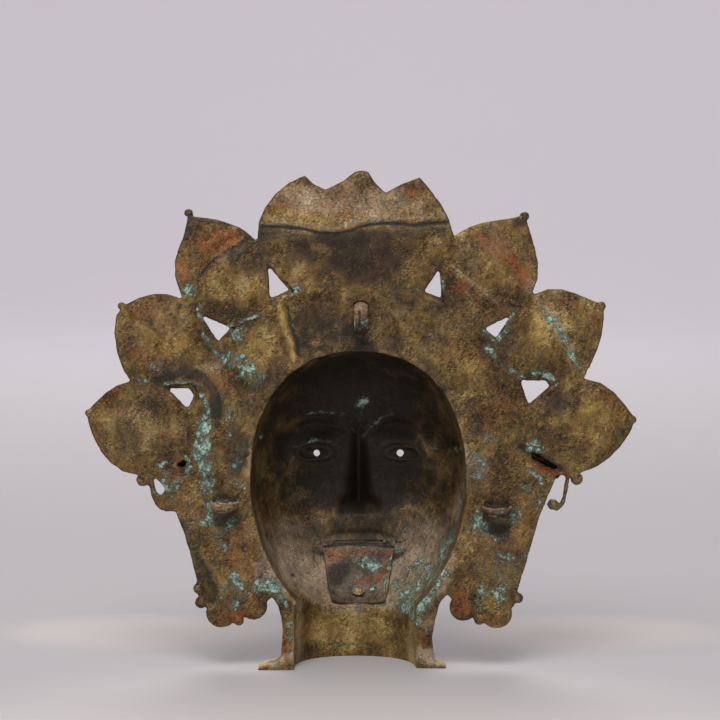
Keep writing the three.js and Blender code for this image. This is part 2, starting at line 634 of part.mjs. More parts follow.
function neckOuter() {
  const levels = [[BELOW, WALL], [NECK.shoulder, WALL], [NECK.top, NECK.gather]];
  const tube = capped(levels.map(([z, grow]) => neckSection(z, grow, -1)));
  const flare = [[BELOW, FOOT.proud], [FOOT.lip, FOOT.proud], [FOOT.height, 0]];
  const skirt = capped(flare.map(([z, proud]) => neckSection(z, WALL + proud, -1)));
  const bands = NECKLACES.map(({ z, radius }) => {
    const path = neckSection(z, WALL, -1).slice(0, NECK_STEPS + 1);
    return rod(path, () => radius, 5, new THREE.Vector3(0, 0, 1));
  });
  return [tube, skirt, ...bands];
}

function toe({ tip, back, front, side, from }) {
  const inwards = TOE_LINE.map(([by, z]) => [tip - side * by, z]);
  return prism([[from, BELOW], [tip, BELOW], ...inwards, [from, inwards.at(-1)[1]]], back, front);
}

function neckHollow() {
  return capped([neckSection(2 * BELOW, 0, FAR_BACK), neckSection(NECK.hollow, 0, FAR_BACK)]);
}

/** All that lies below the table, to cut the foot flat. */
function belowTable() {
  const { width, depth } = TABLE;
  return solid(new THREE.BoxGeometry(width, width, depth).translate(0, 0, -depth / 2));
}

// The cord loops

function loopPath({ x, z, upright, drop, halfSpan }) {
  const { base, reach, socket, steps } = LOOP;
  const at = (off, y, fall) => new THREE.Vector3(upright ? x : x + off, y, upright ? z + off : z - fall);
  const arc = Array.from({ length: steps + 1 }, (_, i) => {
    const turn = (Math.PI * i) / steps;
    return at(halfSpan * Math.cos(turn), base + (reach - base) * Math.sin(turn), drop * Math.sin(turn));
  });
  const foot = FIT - socket;
  return [at(halfSpan, foot, 0), ...arc, at(-halfSpan, foot, 0)];
}

function cordLoop(loop) {
  const across = loop.upright ? new THREE.Vector3(1, 0, 0) : new THREE.Vector3(0, 0, 1);
  return rod(loopPath(loop), () => loop.radius, LOOP.sides, across, loop.wide / loop.radius);
}

function loopSockets() {
  return LOOPS.flatMap(({ x, z, upright, halfSpan, radius, wide }) => [-1, 1].map((side) => {
    const [halfThick, halfWide] = [radius, wide].map((half) => (half + FIT) / Math.cos(Math.PI / LOOP.sides));
    const outline = circleOutline(0, 0, 1, LOOP.sides).map(([out, aside]) => {
      const [off, over] = [side * halfSpan + out * halfThick, aside * halfWide];
      return upright ? [x + over, z + off] : [x + off, z + over];
    });
    return prism(outline, LOOP.base + 1, -LOOP.socket);
  }));
}

// The tongue and its rivet

/** A closed plate between two grids of points of the same size. */
function plate(near, far) {
  const [rows, columns] = [near.length, near[0].length];
  const id = (grid, r, c) => (grid * rows + r) * columns + c;
  const faces = [];
  const quad = (a, b, c, d) => faces.push(a, b, c, a, c, d);
  for (let r = 0; r + 1 < rows; r += 1) {
    for (let c = 0; c + 1 < columns; c += 1) {
      quad(id(0, r, c), id(0, r, c + 1), id(0, r + 1, c + 1), id(0, r + 1, c));
      quad(id(1, r, c), id(1, r + 1, c), id(1, r + 1, c + 1), id(1, r, c + 1));
    }
    quad(id(0, r, 0), id(0, r + 1, 0), id(1, r + 1, 0), id(1, r, 0));
    quad(id(0, r, columns - 1), id(1, r, columns - 1), id(1, r + 1, columns - 1), id(0, r + 1, columns - 1));
  }
  for (let c = 0; c + 1 < columns; c += 1) {
    quad(id(0, 0, c), id(1, 0, c), id(1, 0, c + 1), id(0, 0, c + 1));
    quad(id(0, rows - 1, c), id(0, rows - 1, c + 1), id(1, rows - 1, c + 1), id(1, rows - 1, c));
  }
  const geometry = new THREE.BufferGeometry();
  const points = [...near.flat(), ...far.flat()];
  geometry.setAttribute('position', new THREE.Float32BufferAttribute(points.flatMap((p) => p.toArray()), 3));
  geometry.setIndex(faces);
  return solid(geometry);
}

/** Depth of the tongue plate inside the hollow, which follows the chin a little behind its wall. */
function leafY(x, z) {
  return skinY(x, z, INNER_SKIN, TONGUE.follow) + TONGUE.clear;
}

/** Rows of the plate, from its lower edge inside up, through the slit and down outside. */
function tongueRows() {
  const lips = skinY(0, MOUTH.z, OUTER_SKIN);
  const { thickness, top, bottom } = TONGUE;
  const last = TONGUE_INSIDE.length - 1;
  const inside = TONGUE_INSIDE.map((z, i) => ({ z, half: bottom + ((top - bottom) * i) / last }));
  const middleZ = MOUTH.z - thickness / 2;
  const through = [
    { z: MOUTH.z - 2.4, half: 21 },
    { z: middleZ, y: leafY(0, MOUTH.z) - 4, half: 20 },
    { z: middleZ, y: lips - 7, half: 19.5 },
  ];
  const outside = TONGUE_OUTSIDE.map(([below, ahead, half]) => (
    { z: MOUTH.z - below, y: lips - ahead, half }));
  return [...inside, ...through, ...outside];
}

function tonguePlate() {
  const rows = tongueRows();
  const middles = rows.map(({ y, z }) => new THREE.Vector3(0, y ?? leafY(0, z), z));
  const near = rows.map(({ y, z, half }) => TONGUE_SHARES.map((share) => (
    new THREE.Vector3(OVAL.x + share * half, y ?? leafY(share * half, z), z))));
  const far = near.map((row, i) => {
    const [before, after] = [middles[Math.max(i - 1, 0)], middles[Math.min(i + 1, rows.length - 1)]];
    const along = after.clone().sub(before).normalize();
    const away = new THREE.Vector3(0, along.z, -along.y).multiplyScalar(TONGUE.thickness);
    return row.map((p) => p.clone().add(away));
  });
  return plate(near, far);
}

/** Stands a turned shape on the chin: its axis leaves the tongue plate squarely. */
function alongRivet(profile) {
  const step = 0.5;
  const slope = (leafY(0, RIVET.z + step) - leafY(0, RIVET.z - step)) / (2 * step);
  const points = profile.map(([r, y]) => new THREE.Vector2(r, y));
  const geometry = new THREE.LatheGeometry(points, RIVET.sides).rotateX(-Math.atan(slope));
  return solid(geometry.translate(RIVET.x + OVAL.x, leafY(0, RIVET.z), RIVET.z));
}

function rivet() {
  const { shaft, head, headHeight, stand, reach } = RIVET;
  const seat = TONGUE.thickness + stand;
  const [edge, crown, cap] = [seat + headHeight * 0.45, seat + headHeight, head * 0.62];
  return alongRivet([[0, -reach], [shaft, -reach], [shaft, seat], [head, seat], [head, edge], [cap, crown],
    [0, crown]]);
}

function rivetHole() {
  const radius = RIVET.shaft + FIT;
  const [outer, inner] = [-2 * RIVET.reach, RIVET.reach / 2];
  return alongRivet([[0, outer], [radius, outer], [radius, inner], [0, inner]]);
}

// The whole mask

function maskCasting() {
  const body = join([
    haloPlate(), haloRelief(), faceSolid(-1, OUTER_SKIN, FACE_SEGMENTS.outer), ...neckOuter(),
    ...Object.values(TOES).map(toe), ...faceRelief(), ...crown(), ...ear(1), ...ear(-1),
    ...DROPS.map(earring), ...BEADS.map(smallBead), ...TIP_KNOBS.map(tipKnob), ...curlRod(),
  ]);
  const pupils = [-1, 1].map((side) => (
    prism(circleOutline(OVAL.x + side * EYE.x, EYE.z, EYE.pupil, 8), 0, 2 * FAR_FRONT)));
  const hollows = join([
    faceSolid(FAR_BACK, INNER_SKIN, FACE_SEGMENTS.inner), neckHollow(), eyeball(1, EYE.wall),
    eyeball(-1, EYE.wall), ...pupils, mouthSlit(), rivetHole(), piercingBorders(), ...loopSockets(),
    belowTable(),
  ]);
  return body.subtract(hollows);
}

const mask = new THREE.Group();
mask.name = 'bhuta_mask';
mask.add(
  meshOf('mask_casting', maskCasting(), BRASS),
  meshOf('tongue', tonguePlate().subtract(rivetHole()), COPPER),
  meshOf('tongue_rivet', rivet(), BRASS),
  ...LOOPS.map((loop) => meshOf(loop.name, cordLoop(loop), IRON_BROWN)),
);

export default mask;
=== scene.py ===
"""Looks of a cast brass bhuta mask that stands on its flared neck and is seen from behind.

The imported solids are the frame. One piece stands for the casting, and one each for the tongue plate,
its rivet and the three cord loops. Fields are in millimetres where no other unit is named, with y
counted from the plane of the flat back, as the solids are shaped. Meshes are in metres.
"""

import logging
import math
from collections.abc import Callable
from dataclasses import dataclass, field
from enum import Enum
from itertools import pairwise, product

import bmesh
import bpy
import numpy as np
from mathutils import Matrix, Vector
from mathutils.kdtree import KDTree


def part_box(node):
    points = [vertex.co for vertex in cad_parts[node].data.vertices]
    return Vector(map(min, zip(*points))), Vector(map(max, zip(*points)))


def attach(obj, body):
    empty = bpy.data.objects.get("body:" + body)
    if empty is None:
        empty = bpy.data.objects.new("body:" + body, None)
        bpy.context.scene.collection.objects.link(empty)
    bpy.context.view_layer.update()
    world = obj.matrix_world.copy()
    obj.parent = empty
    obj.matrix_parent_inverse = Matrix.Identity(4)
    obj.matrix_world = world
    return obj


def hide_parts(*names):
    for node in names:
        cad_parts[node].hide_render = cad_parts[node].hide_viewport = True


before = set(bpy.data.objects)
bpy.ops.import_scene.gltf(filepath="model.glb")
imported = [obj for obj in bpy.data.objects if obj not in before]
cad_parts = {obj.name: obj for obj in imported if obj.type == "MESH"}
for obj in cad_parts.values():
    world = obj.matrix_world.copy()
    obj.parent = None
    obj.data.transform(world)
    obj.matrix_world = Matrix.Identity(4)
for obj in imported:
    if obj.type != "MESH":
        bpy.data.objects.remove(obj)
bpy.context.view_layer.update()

Array = np.ndarray
Colour = tuple[float, float, float]
Socket = bpy.types.NodeSocket
Rings = tuple[tuple[float, float], ...]
Stops = tuple[tuple[float, Colour], ...]

log = logging.getLogger("bhuta_mask")
MM = 0.001
BODY = "root"
BACK_Y = 41.5


# Numbers and noise


def smooth_step(low: float, high: float, value: Array) -> Array:
    """Eased 0 to 1 as the value goes from low to high."""
    share = np.clip((value - low) / (high - low), 0.0, 1.0)
    return share * share * (3.0 - 2.0 * share)


def lattice_noise(points: Array, size: float, seed: int) -> Array:
    """Smooth noise on a lattice of random values.

    Args:
        points: Places, one row each.
        size: Width of a lattice cell, in the points' unit.
        seed: Number of the lattice.

    Returns:
        A value from -1 to 1 for each point.
    """
    cell = points / size
    base = np.floor(cell)
    part = cell - base
    ease = part * part * (3.0 - 2.0 * part)
    keys = base.astype(np.int64)
    total = np.zeros(len(points))
    for corner in product((0, 1), repeat=points.shape[1]):
        code = np.full(len(points), seed * 7919, np.int64)
        for axis, step in enumerate(corner):
            code = (code * 31 + keys[:, axis] + step) * 2654435761 & 0xFFFFFFFF
            code ^= code >> 15
        weight = np.prod(np.where(corner, ease, 1.0 - ease), axis=1)
        total += weight * ((code & 0xFFFF) / 0x7FFF - 1.0)
    return total


def fractal_noise(points: Array, size: float, octaves: int, seed: int) -> Array:
    """Lattice noise with finer copies of itself added.

    Args:
        points: Places, one row each.
        size: Width of the coarsest cell.
        octaves: How many sizes are added, each half of the one before.
        seed: Number of the first lattice.

    Returns:
        A value of about -1 to 1 for each point.
    """
    shares = [0.5**octave for octave in range(octaves)]
    layers = [share * lattice_noise(points, size * share, seed + i) for i, share in enumerate(shares)]
    return sum(layers) / math.sqrt(sum(share * share for share in shares)) / 1.3


def line_distance(points: Array, line: list[tuple[float, float]]) -> tuple[Array, Array]:
    """Distance in a plane from points to a polyline.

    Args:
        points: Places in the plane, one row each.
        line: Corners of the polyline.

    Returns:
        The distance of each point, and how far along the line its nearest place is, from 0 to 1.
    """
    corners = np.array(line, float)
    lengths = np.linalg.norm(np.diff(corners, axis=0), axis=1)
    starts = np.concatenate([[0.0], np.cumsum(lengths)])
    nearest = np.full(len(points), np.inf)
    share = np.zeros(len(points))
    for i, (low, high) in enumerate(pairwise(corners)):
        along = high - low
        part = np.clip((points - low) @ along / (along @ along), 0.0, 1.0)
        away = np.linalg.norm(points - low - part[:, None] * along, axis=1)
        closer = away < nearest
        nearest = np.where(closer, away, nearest)
        share = np.where(closer, (starts[i] + part * lengths[i]) / starts[-1], share)
    return nearest, share


def curve_through(corners: list[tuple[float, ...]], steps: int) -> list[tuple[float, ...]]:
    """Points of a smooth curve through corners.

    Args:
        corners: Places that the curve passes, of any dimension.
        steps: Points for each stretch between two corners.

    Returns:
        Points along the curve, both ends included.
    """
    knots = np.array(corners, float)
    padded = np.vstack([2 * knots[0] - knots[1], knots, 2 * knots[-1] - knots[-2]])
    made = []
    for before, start, end, after in zip(padded, padded[1:], padded[2:], padded[3:]):
        for t in np.arange(steps) / steps:
            bend = 2 * start + (end - before) * t + (2 * before - 5 * start + 4 * end - after) * t**2
            made.append(tuple((bend + (3 * start - before - 3 * end + after) * t**3) / 2))
    return [*made, tuple(knots[-1])]


# The camera of the photograph


@dataclass(frozen=True)
class PhotoView:
    """The camera that took the photograph, and the 720 pixels of its frame."""

    target: tuple[float, float, float] = (0.0008, 0.0415, 0.2393)
    elevation: float = math.radians(6.0)
    distance: float = 2.2
    frame_pixels: int = 720
    focal_pixels: float = 2880.0
    sensor: float = 36.0

    @property
    def back(self) -> Array:
        """Direction from the target to the camera."""
        return np.array([0.0, math.cos(self.elevation), math.sin(self.elevation)])

    @property
    def up(self) -> Array:
        """The frame's upward direction."""
        return np.array([0.0, -math.sin(self.elevation), math.cos(self.elevation)])

    def pixels(self, points: Array) -> Array:
        """Where points are seen in the frame.

        Args:
            points: Places in metres, one row each.

        Returns:
            Pixel columns and rows, counted from the upper left corner.
        """
        offset = points - np.array(self.target)
        depth = self.distance - offset @ self.back
        middle = self.frame_pixels / 2
        column = middle - self.focal_pixels * offset[:, 0] / depth
        return np.stack([column, middle - self.focal_pixels * (offset @ self.up) / depth], axis=1)

    def place_camera(self) -> bpy.types.Object:
        """Makes the scene's camera.

        Returns:
            The camera.
        """
        data = bpy.data.cameras.new("photo_camera")
        data.sensor_width = self.sensor
        data.lens = self.sensor * self.focal_pixels / self.frame_pixels
        camera = bpy.data.objects.new("photo_camera", data)
        camera.location = Vector(self.target) + Vector(self.back) * self.distance
        camera.rotation_euler = (-Vector(self.back)).to_track_quat("-Z", "Y").to_euler()
        bpy.context.scene.collection.objects.link(camera)
        bpy.context.scene.camera = camera
        return camera


# The dense skin of a piece


@dataclass
class Skin:
    """A dense mesh as arrays, in millimetres, with y counted from the back plane."""

    mesh: bpy.types.Mesh
    points: Array = field(init=False)
    normals: Array = field(init=False)
    links: Array = field(init=False)
    degree: Array = field(init=False)

    def __post_init__(self) -> None:
        """Reads the mesh."""
        count = len(self.mesh.vertices)
        flat = np.empty(count * 3, np.float32)
        self.mesh.vertices.foreach_get("co", flat)
        self.points = flat.reshape(-1, 3).astype(float) / MM
        self.points[:, 1] -= BACK_Y
        edges = np.empty(len(self.mesh.edges) * 2, np.int32)
        self.mesh.edges.foreach_get("vertices", edges)
        self.links = edges.reshape(-1, 2)
        self.degree = np.maximum(np.bincount(self.links.ravel(), minlength=count), 1)
        self.read_normals()

    def read_normals(self) -> None:
        """Reads the vertex normals of the mesh as it stands."""
        flat = np.empty(len(self.mesh.vertices) * 3, np.float32)
        self.mesh.vertex_normals.foreach_get("vector", flat)
        self.normals = flat.reshape(-1, 3).astype(float)

    def write(self) -> None:
        """Writes the points back to the mesh and reads the new normals."""
        placed = self.points + np.array([0.0, BACK_Y, 0.0])
        self.mesh.vertices.foreach_set("co", (placed * MM).astype(np.float32).ravel())
        self.mesh.update()
        self.read_normals()

    def in_metres(self) -> Array:
        """The points in the row frame, in metres."""
        return (self.points + np.array([0.0, BACK_Y, 0.0])) * MM

    def relaxed(self, values: Array, rounds: int) -> Array:
        """Values averaged with their neighbours.

        Args:
            values: One row for each vertex.
            rounds: How often the averaging is repeated.

        Returns:
            The smoothed values.
        """
        rows = values.reshape(len(self.points), -1).copy()
        first, second = self.links.T
        for _ in range(rounds):
            for column in range(rows.shape[1]):
                value = rows[:, column]
                total = np.bincount(first, value[second], len(value))
                total += np.bincount(second, value[first], len(value))
                rows[:, column] = (value + total / self.degree) / 2
        return rows.reshape(values.shape)

    def add_layer(self, name: str, values: Array) -> None:
        """Keeps a value for each vertex as a named attribute of the mesh."""
        layer = self.mesh.attributes.new(name, "FLOAT", "POINT")
        layer.data.foreach_set("value", values.astype(np.float32))


def evaluated_mesh(piece: bpy.types.Object) -> bpy.types.Mesh:
    """A new mesh of a piece with its modifiers applied."""
    graph = bpy.context.evaluated_depsgraph_get()
    return bpy.data.meshes.new_from_object(piece.evaluated_get(graph), depsgraph=graph)


def mesh_from(shape: bmesh.types.BMesh, name: str) -> bpy.types.Mesh:
    """A mesh of a form that is done with.

    Args:
        shape: The form, which is freed.
        name: Name of the mesh.

    Returns:
        The mesh.
    """
    mesh = bpy.data.meshes.new(name)
    shape.to_mesh(mesh)
    shape.free()
    return mesh


def join_form(shape: bmesh.types.BMesh, made: bmesh.types.BMesh) -> None:
    """Adds a form to another.

    Args:
        shape: The form that grows.
        made: The form that joins it, which is freed.
    """
    mesh = mesh_from(made, "joined")
    shape.from_mesh(mesh)
    bpy.data.meshes.remove(mesh)


def turned(profile: list[Vector], middle: Vector, axis: tuple[int, int, int],
           steps: int) -> bmesh.types.BMesh:
    """A closed form turned from a profile.

    Args:
        profile: Corners of the profile, in metres.
        middle: A place on the axis.
        axis: Direction of the axis.
        steps: Faces around it.

    Returns:
        The form.
    """
    shape = bmesh.new()
    corners = [shape.verts.new(corner) for corner in profile]
    edges = [shape.edges.new(pair) for pair in pairwise(corners)]
    bmesh.ops.spin(shape, geom=[*corners, *edges], cent=middle, axis=axis, angle=2 * math.pi, steps=steps,
                   use_merge=True)
    bmesh.ops.remove_doubles(shape, verts=shape.verts, dist=1e-6)
    bmesh.ops.recalc_face_normals(shape, faces=shape.faces)
    return shape


def new_piece(name: str, mesh: bpy.types.Mesh) -> bpy.types.Object:
    """Links a mesh to the scene as an object at the origin.

    Args:
        name: Name of the piece.
        mesh: Its mesh.

    Returns:
        The new piece.
    """
    piece = bpy.data.objects.new(name, mesh)
    bpy.context.scene.collection.objects.link(piece)
    return piece


def shade_smooth(mesh: bpy.types.Mesh) -> None:
    """Sets every face of a mesh to smooth shading."""
    mesh.polygons.foreach_set("use_smooth", np.ones(len(mesh.polygons), bool))
    mesh.update()


def apply_modifiers(piece: bpy.types.Object) -> None:
    """Bakes a piece's modifiers into its mesh.

    Args:
        piece: The piece, which gets a new mesh.
    """
    old = piece.data
    made = evaluated_mesh(piece)
    piece.modifiers.clear()
    piece.data = made
    bpy.data.meshes.remove(old)


def dress(piece: bpy.types.Object, node: str, finish: bpy.types.Material) -> None:
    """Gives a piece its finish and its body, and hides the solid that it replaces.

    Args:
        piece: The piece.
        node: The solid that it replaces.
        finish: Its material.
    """
    piece.data.materials.clear()
    piece.data.materials.append(finish)
    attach(piece, BODY)
    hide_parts(node)
    log.info("%s: %d faces", piece.name, len(piece.data.polygons))


# The face and the neck as formulas


@dataclass(frozen=True)
class Swell:
    """A soft swell of the face, alike on both sides: how far it stands out, its middle and its spread."""

    rise: float
    x: float
    z: float
    wide: float
    tall: float

    def at(self, x: Array, z: Array) -> Array:
        """How far the swell stands out at places of the face."""
        across, up = (np.abs(x) - self.x) / self.wide, (z - self.z) / self.tall
        return self.rise * np.exp(-(across**2) - up**2)


@dataclass(frozen=True)
class FaceLine:
    """A raised line of the face that thins towards its ends, as places from the middle line."""

    points: tuple[tuple[float, float], ...]
    ends: float
    middle: float
    mirrored: bool = False

    def at(self, x: Array, z: Array) -> Array:
        """How far the line stands out at places of the face.

        Args:
            x: Places across, from the face's middle.
            z: Their heights.

        Returns:
            One height for each place.
        """
        side = np.abs(x) if self.mirrored else x
        away, share = line_distance(np.stack([side, z], axis=1), curve_through(list(self.points), 6))
        radius = self.ends + (self.middle - self.ends) * np.sin(np.pi * share)
        return radius * np.exp(-((away / (0.75 * radius)) ** 2))


@dataclass(frozen=True)
class SkinSide:
    """One side of the cast wall: how far it is grown, its depth, and how it thins the nose."""

    grow: float
    depth: float
    thin: float
    lines: float


OUTER = SkinSide(grow=3.2, depth=78.0, thin=0.0, lines=1.0)
INNER = SkinSide(grow=0.0, depth=74.8, thin=2.4, lines=0.55)


@dataclass(frozen=True)
class FaceForm:
    """The calm, plain face of the mask. Heights are above the table, x is from the face's middle."""

    middle_x: float = 2.0
    middle_z: float = 143.0
    half_width: float = 83.0
    above: float = 103.0
    below: float = 117.0
    upper_power: float = 2.3
    lower_power: float = 1.85
    side_fullness: float = 3.2
    jaw_fullness: float = 4.4
    eye: tuple[float, float] = (33.0, 158.0)
    eye_half: tuple[float, float] = (17.0, 8.5)
    eye_bulge: float = 9.0
    eye_wall: float = 2.9
    lid_reach: float = 16.5
    upper_lid: float = 8.6
    lower_lid: float = 7.6
    nose_top: float = 172.0
    nose_tip: float = 117.0
    nose_base: float = 107.0
    nose_rise: float = 23.0
    nose_bridge: float = 5.0
    nose_half: float = 9.5
    nose_taper: float = 0.7
    nose_blend: float = 14.0
    mouth_z: float = 87.0
    rivet_z: float = 46.0
    swells: tuple[Swell, ...] = (
        Swell(8, 11, 115, 5.5, 6),
        Swell(5, 30, 178, 24, 8),
        Swell(-7, 32, 159, 19, 12),
        Swell(3.5, 44, 126, 17, 15),
        Swell(5, 0, 87, 26, 15),
        Swell(6, 0, 56, 17, 11),
        Swell(3, 0, 215, 50, 26),
    )
    lines: tuple[FaceLine, ...] = (
        FaceLine(((11, 173), (24, 180), (40, 181), (58, 172)), 1.0, 2.8, mirrored=True),
        FaceLine(((-35, 87.5), (-14, 92), (0, 91), (14, 92), (35, 87.5)), 1.4, 4.2),
        FaceLine(((-34, 86.5), (-14, 81), (0, 79.5), (14, 81), (34, 86.5)), 1.4, 5.0),
    )

    def oval_radius(self, angle: Array, grow: float) -> Array:
        """Distance from the oval's middle to its edge, grown outwards, in some directions.

        Args:
            angle: The directions, in radians.
            grow: How far the oval is grown.

        Returns:
            One distance for each direction.
        """
        cosine, sine = np.cos(angle), np.sin(angle)
        power = np.where(sine >= 0, self.upper_power, self.lower_power)
        height = np.where(sine >= 0, self.above, self.below) + grow
        reach = (np.abs(cosine) / (self.half_width + grow)) ** power + (np.abs(sine) / height) ** power
        return reach ** (-1 / power)

    def features(self, x: Array, z: Array, thin: float) -> Array:
        """How far nose and swells stand out from the plain oval.

        Args:
            x: Places across, from the face's middle.
            z: Their heights.
            thin: How much narrower the nose is.

        Returns:
            One height for each place.
        """
        grown = smooth_step(self.nose_top, self.nose_tip, z)
        ends = smooth_step(self.nose_base, self.nose_tip, z)
        ends = ends * (1 - smooth_step(self.nose_top, self.nose_top + self.nose_blend, z))
        width = self.nose_half * (self.nose_taper + (1 - self.nose_taper) * grown) - thin
        rise = self.nose_bridge + (self.nose_rise - self.nose_bridge) * grown
        nose = rise * ends * np.exp(-((x / width) ** 2))
        return nose + sum(swell.at(x, z) for swell in self.swells)

    def fullness(self, x: Array, z: Array) -> Array:
        """How full the wall bulges, which grows from the sides to the jaw."""
        low = np.maximum(0, -np.sin(np.arctan2(z - self.middle_z, x)))
        return self.side_fullness + (self.jaw_fullness - self.side_fullness) * low

    def fraction(self, x: Array, z: Array, grow: float) -> Array:
        """How far places are on the way from the oval's middle to its edge."""
        angle = np.arctan2(z - self.middle_z, x)
        return np.hypot(x, z - self.middle_z) / self.oval_radius(angle, grow)

    def plain_skin(self, x: Array, z: Array, side: SkinSide) -> Array:
        """The y of a side of the wall, without eyes and raised lines.

        Args:
            x: Places across, from the face's middle.
            z: Their heights.
            side: The side of the wall.

        Returns:
            One y for each place.
        """
        part = np.minimum(self.fraction(x, z, side.grow), 1.0)
        raised = (1 - part**6) * self.features(x, z, side.thin)
        return -side.depth * np.sqrt(np.maximum(0, 1 - part ** self.fullness(x, z))) - raised

    def lid_ridge(self, x: Array, z: Array) -> Array:
        """How far the lids stand out around the almond of each eye.

        Args:
            x: Places across, from the face's middle.
            z: Their heights.

        Returns:
            One height for each place.
        """
        across = (np.abs(x) - self.eye[0]) / self.lid_reach
        rise = z - self.eye[1]
        up = rise / np.where(rise > 0, self.upper_lid, self.lower_lid)
        ring = np.maximum(np.hypot(across, up), 1e-6)
        away = (ring - 1) * np.hypot(np.abs(x) - self.eye[0], rise) / ring
        ends = 1 - 0.55 * smooth_step(0.6, 1.0, np.abs(across))
        height = np.where(rise > 0, 2.5, 1.9) * ends
        return height * np.exp(-((away / 1.5) ** 2))

    def skin(self, x: Array, z: Array, side: SkinSide) -> Array:
        """The y of a side of the wall, with eyes, lids, brows and lips.

        Args:
            x: Places across, from the face's middle.
            z: Their heights.
            side: The side of the wall.

        Returns:
            One y for each place.
        """
        plain = self.plain_skin(x, z, side)
        inset = 0.0 if side.grow else self.eye_wall
        eye_x, eye_z = (np.array([value]) for value in self.eye)
        surface = self.plain_skin(eye_x, eye_z, OUTER)[0]
        across = (np.abs(x) - self.eye[0]) / (self.eye_half[0] - inset)
        up = (z - self.eye[1]) / (self.eye_half[1] - inset)
        dome = np.sqrt(np.maximum(0, 1 - across**2 - up**2))
        ball = surface + self.eye_bulge / 2 - (self.eye_bulge - inset) * dome
        eyes = np.where(dome > 0, np.minimum(plain, ball), plain)
        raised = self.lid_ridge(x, z) + sum(line.at(x, z) for line in self.lines)
        return eyes - side.lines * raised

    def near_opening(self, x: Array, z: Array) -> Array:
        """Which places are near the pupils, the slit of the mouth or the rivet's hole.

        Args:
            x: Places across, from the face's middle.
            z: Their heights.

        Returns:
            1 at an opening, 0 away from all, for each place.
        """
        pupil = 1 - smooth_step(3.6, 5.0, np.hypot(np.abs(x) - self.eye[0], z - self.eye[1]))
        slit = 1 - smooth_step(33, 36, np.abs(x))
        slit = slit * (1 - smooth_step(4.0, 6.0, np.abs(z - self.mouth_z)))
        rivet = 1 - smooth_step(6.0, 8.0, np.hypot(x, z - self.rivet_z))
        return np.maximum(np.maximum(pupil, slit), rivet)

    def wall_gap(self, points: Array, side: SkinSide) -> Array:
        """An implicit form of a side of the wall, zero on it and above zero outside it.

        Args:
            points: Places, one row each.
            side: The side of the wall.

        Returns:
            One value for each place.
        """
        x, z = points[:, 0] - self.middle_x, points[:, 2]
        part = self.fraction(x, z, side.grow)
        raised = (1 - np.minimum(part, 1) ** 6) * self.features(x, z, side.thin)
        return (np.maximum(0, -points[:, 1] - raised) / side.depth) ** 2 + part ** self.fullness(x, z) - 1


@dataclass(frozen=True)
class NeckForm:
    """The half tube of the neck, open behind."""

    x: float = 4.5
    half_width: float = 47.0
    depth: float = 46.0
    power: float = 2.2
    wall: float = 3.2
    hollow_top: float = 49.0
    shoulder: float = 50.0

    def wall_gap(self, points: Array, grow: float) -> Array:
        """An implicit form of a side of the tube, zero on it and above zero outside it."""
        across = np.abs(points[:, 0] - self.x) / (self.half_width + grow)
        return across**self.power + (np.abs(points[:, 1]) / (self.depth + grow)) ** self.power - 1


def pull_to_form(points: Array, gap: Callable[[Array], Array], near: float, far: float) -> Array:
    """Moves points on to a form by Newton steps, where they lie close to it.

    Args:
        points: Places, one row each.
        gap: A function of places that is zero on the form.
        near: Distance up to which a point is moved all the way.
        far: Distance from which a point stays.

    Returns:
        The new places.
    """
    step = 0.05
    moved = points.copy()
    for _ in range(3):
        value = gap(moved)
        slope = np.stack([gap(moved + step * axis) - gap(moved - step * axis) for axis in np.eye(3)], 1)
        slope /= 2 * step
        steep = np.maximum((slope**2).sum(1), 1e-8)
        moved = moved - (np.clip(value, -0.5, 0.5) / steep)[:, None] * slope
    away = np.linalg.norm(moved - points, axis=1)
    share = 1 - smooth_step(near, far, away)
    return points + share[:, None] * (moved - points)


# Films of the patina, and painted shade and sheen, put where the photograph shows them


class Film(Enum):
    """A film on the metal, by the name of the attribute that holds its strength; soot also carries painted
    shade, gold and haze also painted sheen.
    """

    VERDIGRIS = "verdigris"
    SOOT_AND_SHADE = "soot_and_shade"
    COPPER = "copper"
    GOLD_AND_SHEEN = "gold_and_sheen"
    HAZE_AND_SHEEN = "haze_and_sheen"

    def patches(self, *rows: tuple[float, ...]) -> tuple["Patch", ...]:
        """Patches of the film, each from x, y, reach across, reach down, strength and turn."""
        return tuple(Patch(self, row[:2], row[2:4], *row[4:]) for row in rows)

    def streaks(self, *rows: tuple) -> tuple["Streak", ...]:
        """Streaks of the film, each from half its width, its strength and the pixels of its line."""
        return tuple(Streak(self, row[2:], *row[:2]) for row in rows)


def keep_films(skin: Skin, films: dict[Film, Array], wear: Array) -> None:
    """Keeps films and wear as attributes of a skin's mesh.

    Args:
        skin: The skin.
        films: Strength of each film at each vertex.
        wear: 1 where a vertex is rubbed, -1 where it is sheltered.
    """
    for film, values in films.items():
        skin.add_layer(film.value, values)
    skin.add_layer("wear", wear)


@dataclass(frozen=True)
class Patch:
    """An uneven oval of a film, at a pixel of the photograph, with its reach in pixels."""

    film: Film
    at: tuple[float, float]
    reach: tuple[float, float]
    strength: float
    turn: float = 0.0

    def value(self, pixels: Array, wobble: Array) -> Array:
        """Strength of the film at pixels, with its edge shifted by a wobble.

        Args:
            pixels: Places in the photograph.
            wobble: How far the edge is shifted.

        Returns:
            One strength for each place.
        """
        turn = math.radians(self.turn)
        across, down = (pixels - np.array(self.at)).T
        along = across * math.cos(turn) + down * math.sin(turn)
        aside = down * math.cos(turn) - across * math.sin(turn)
        ring = np.hypot(along / self.reach[0], aside / self.reach[1])
        return self.strength * (1 - smooth_step(0.4, 1.2, ring + 0.4 * wobble))


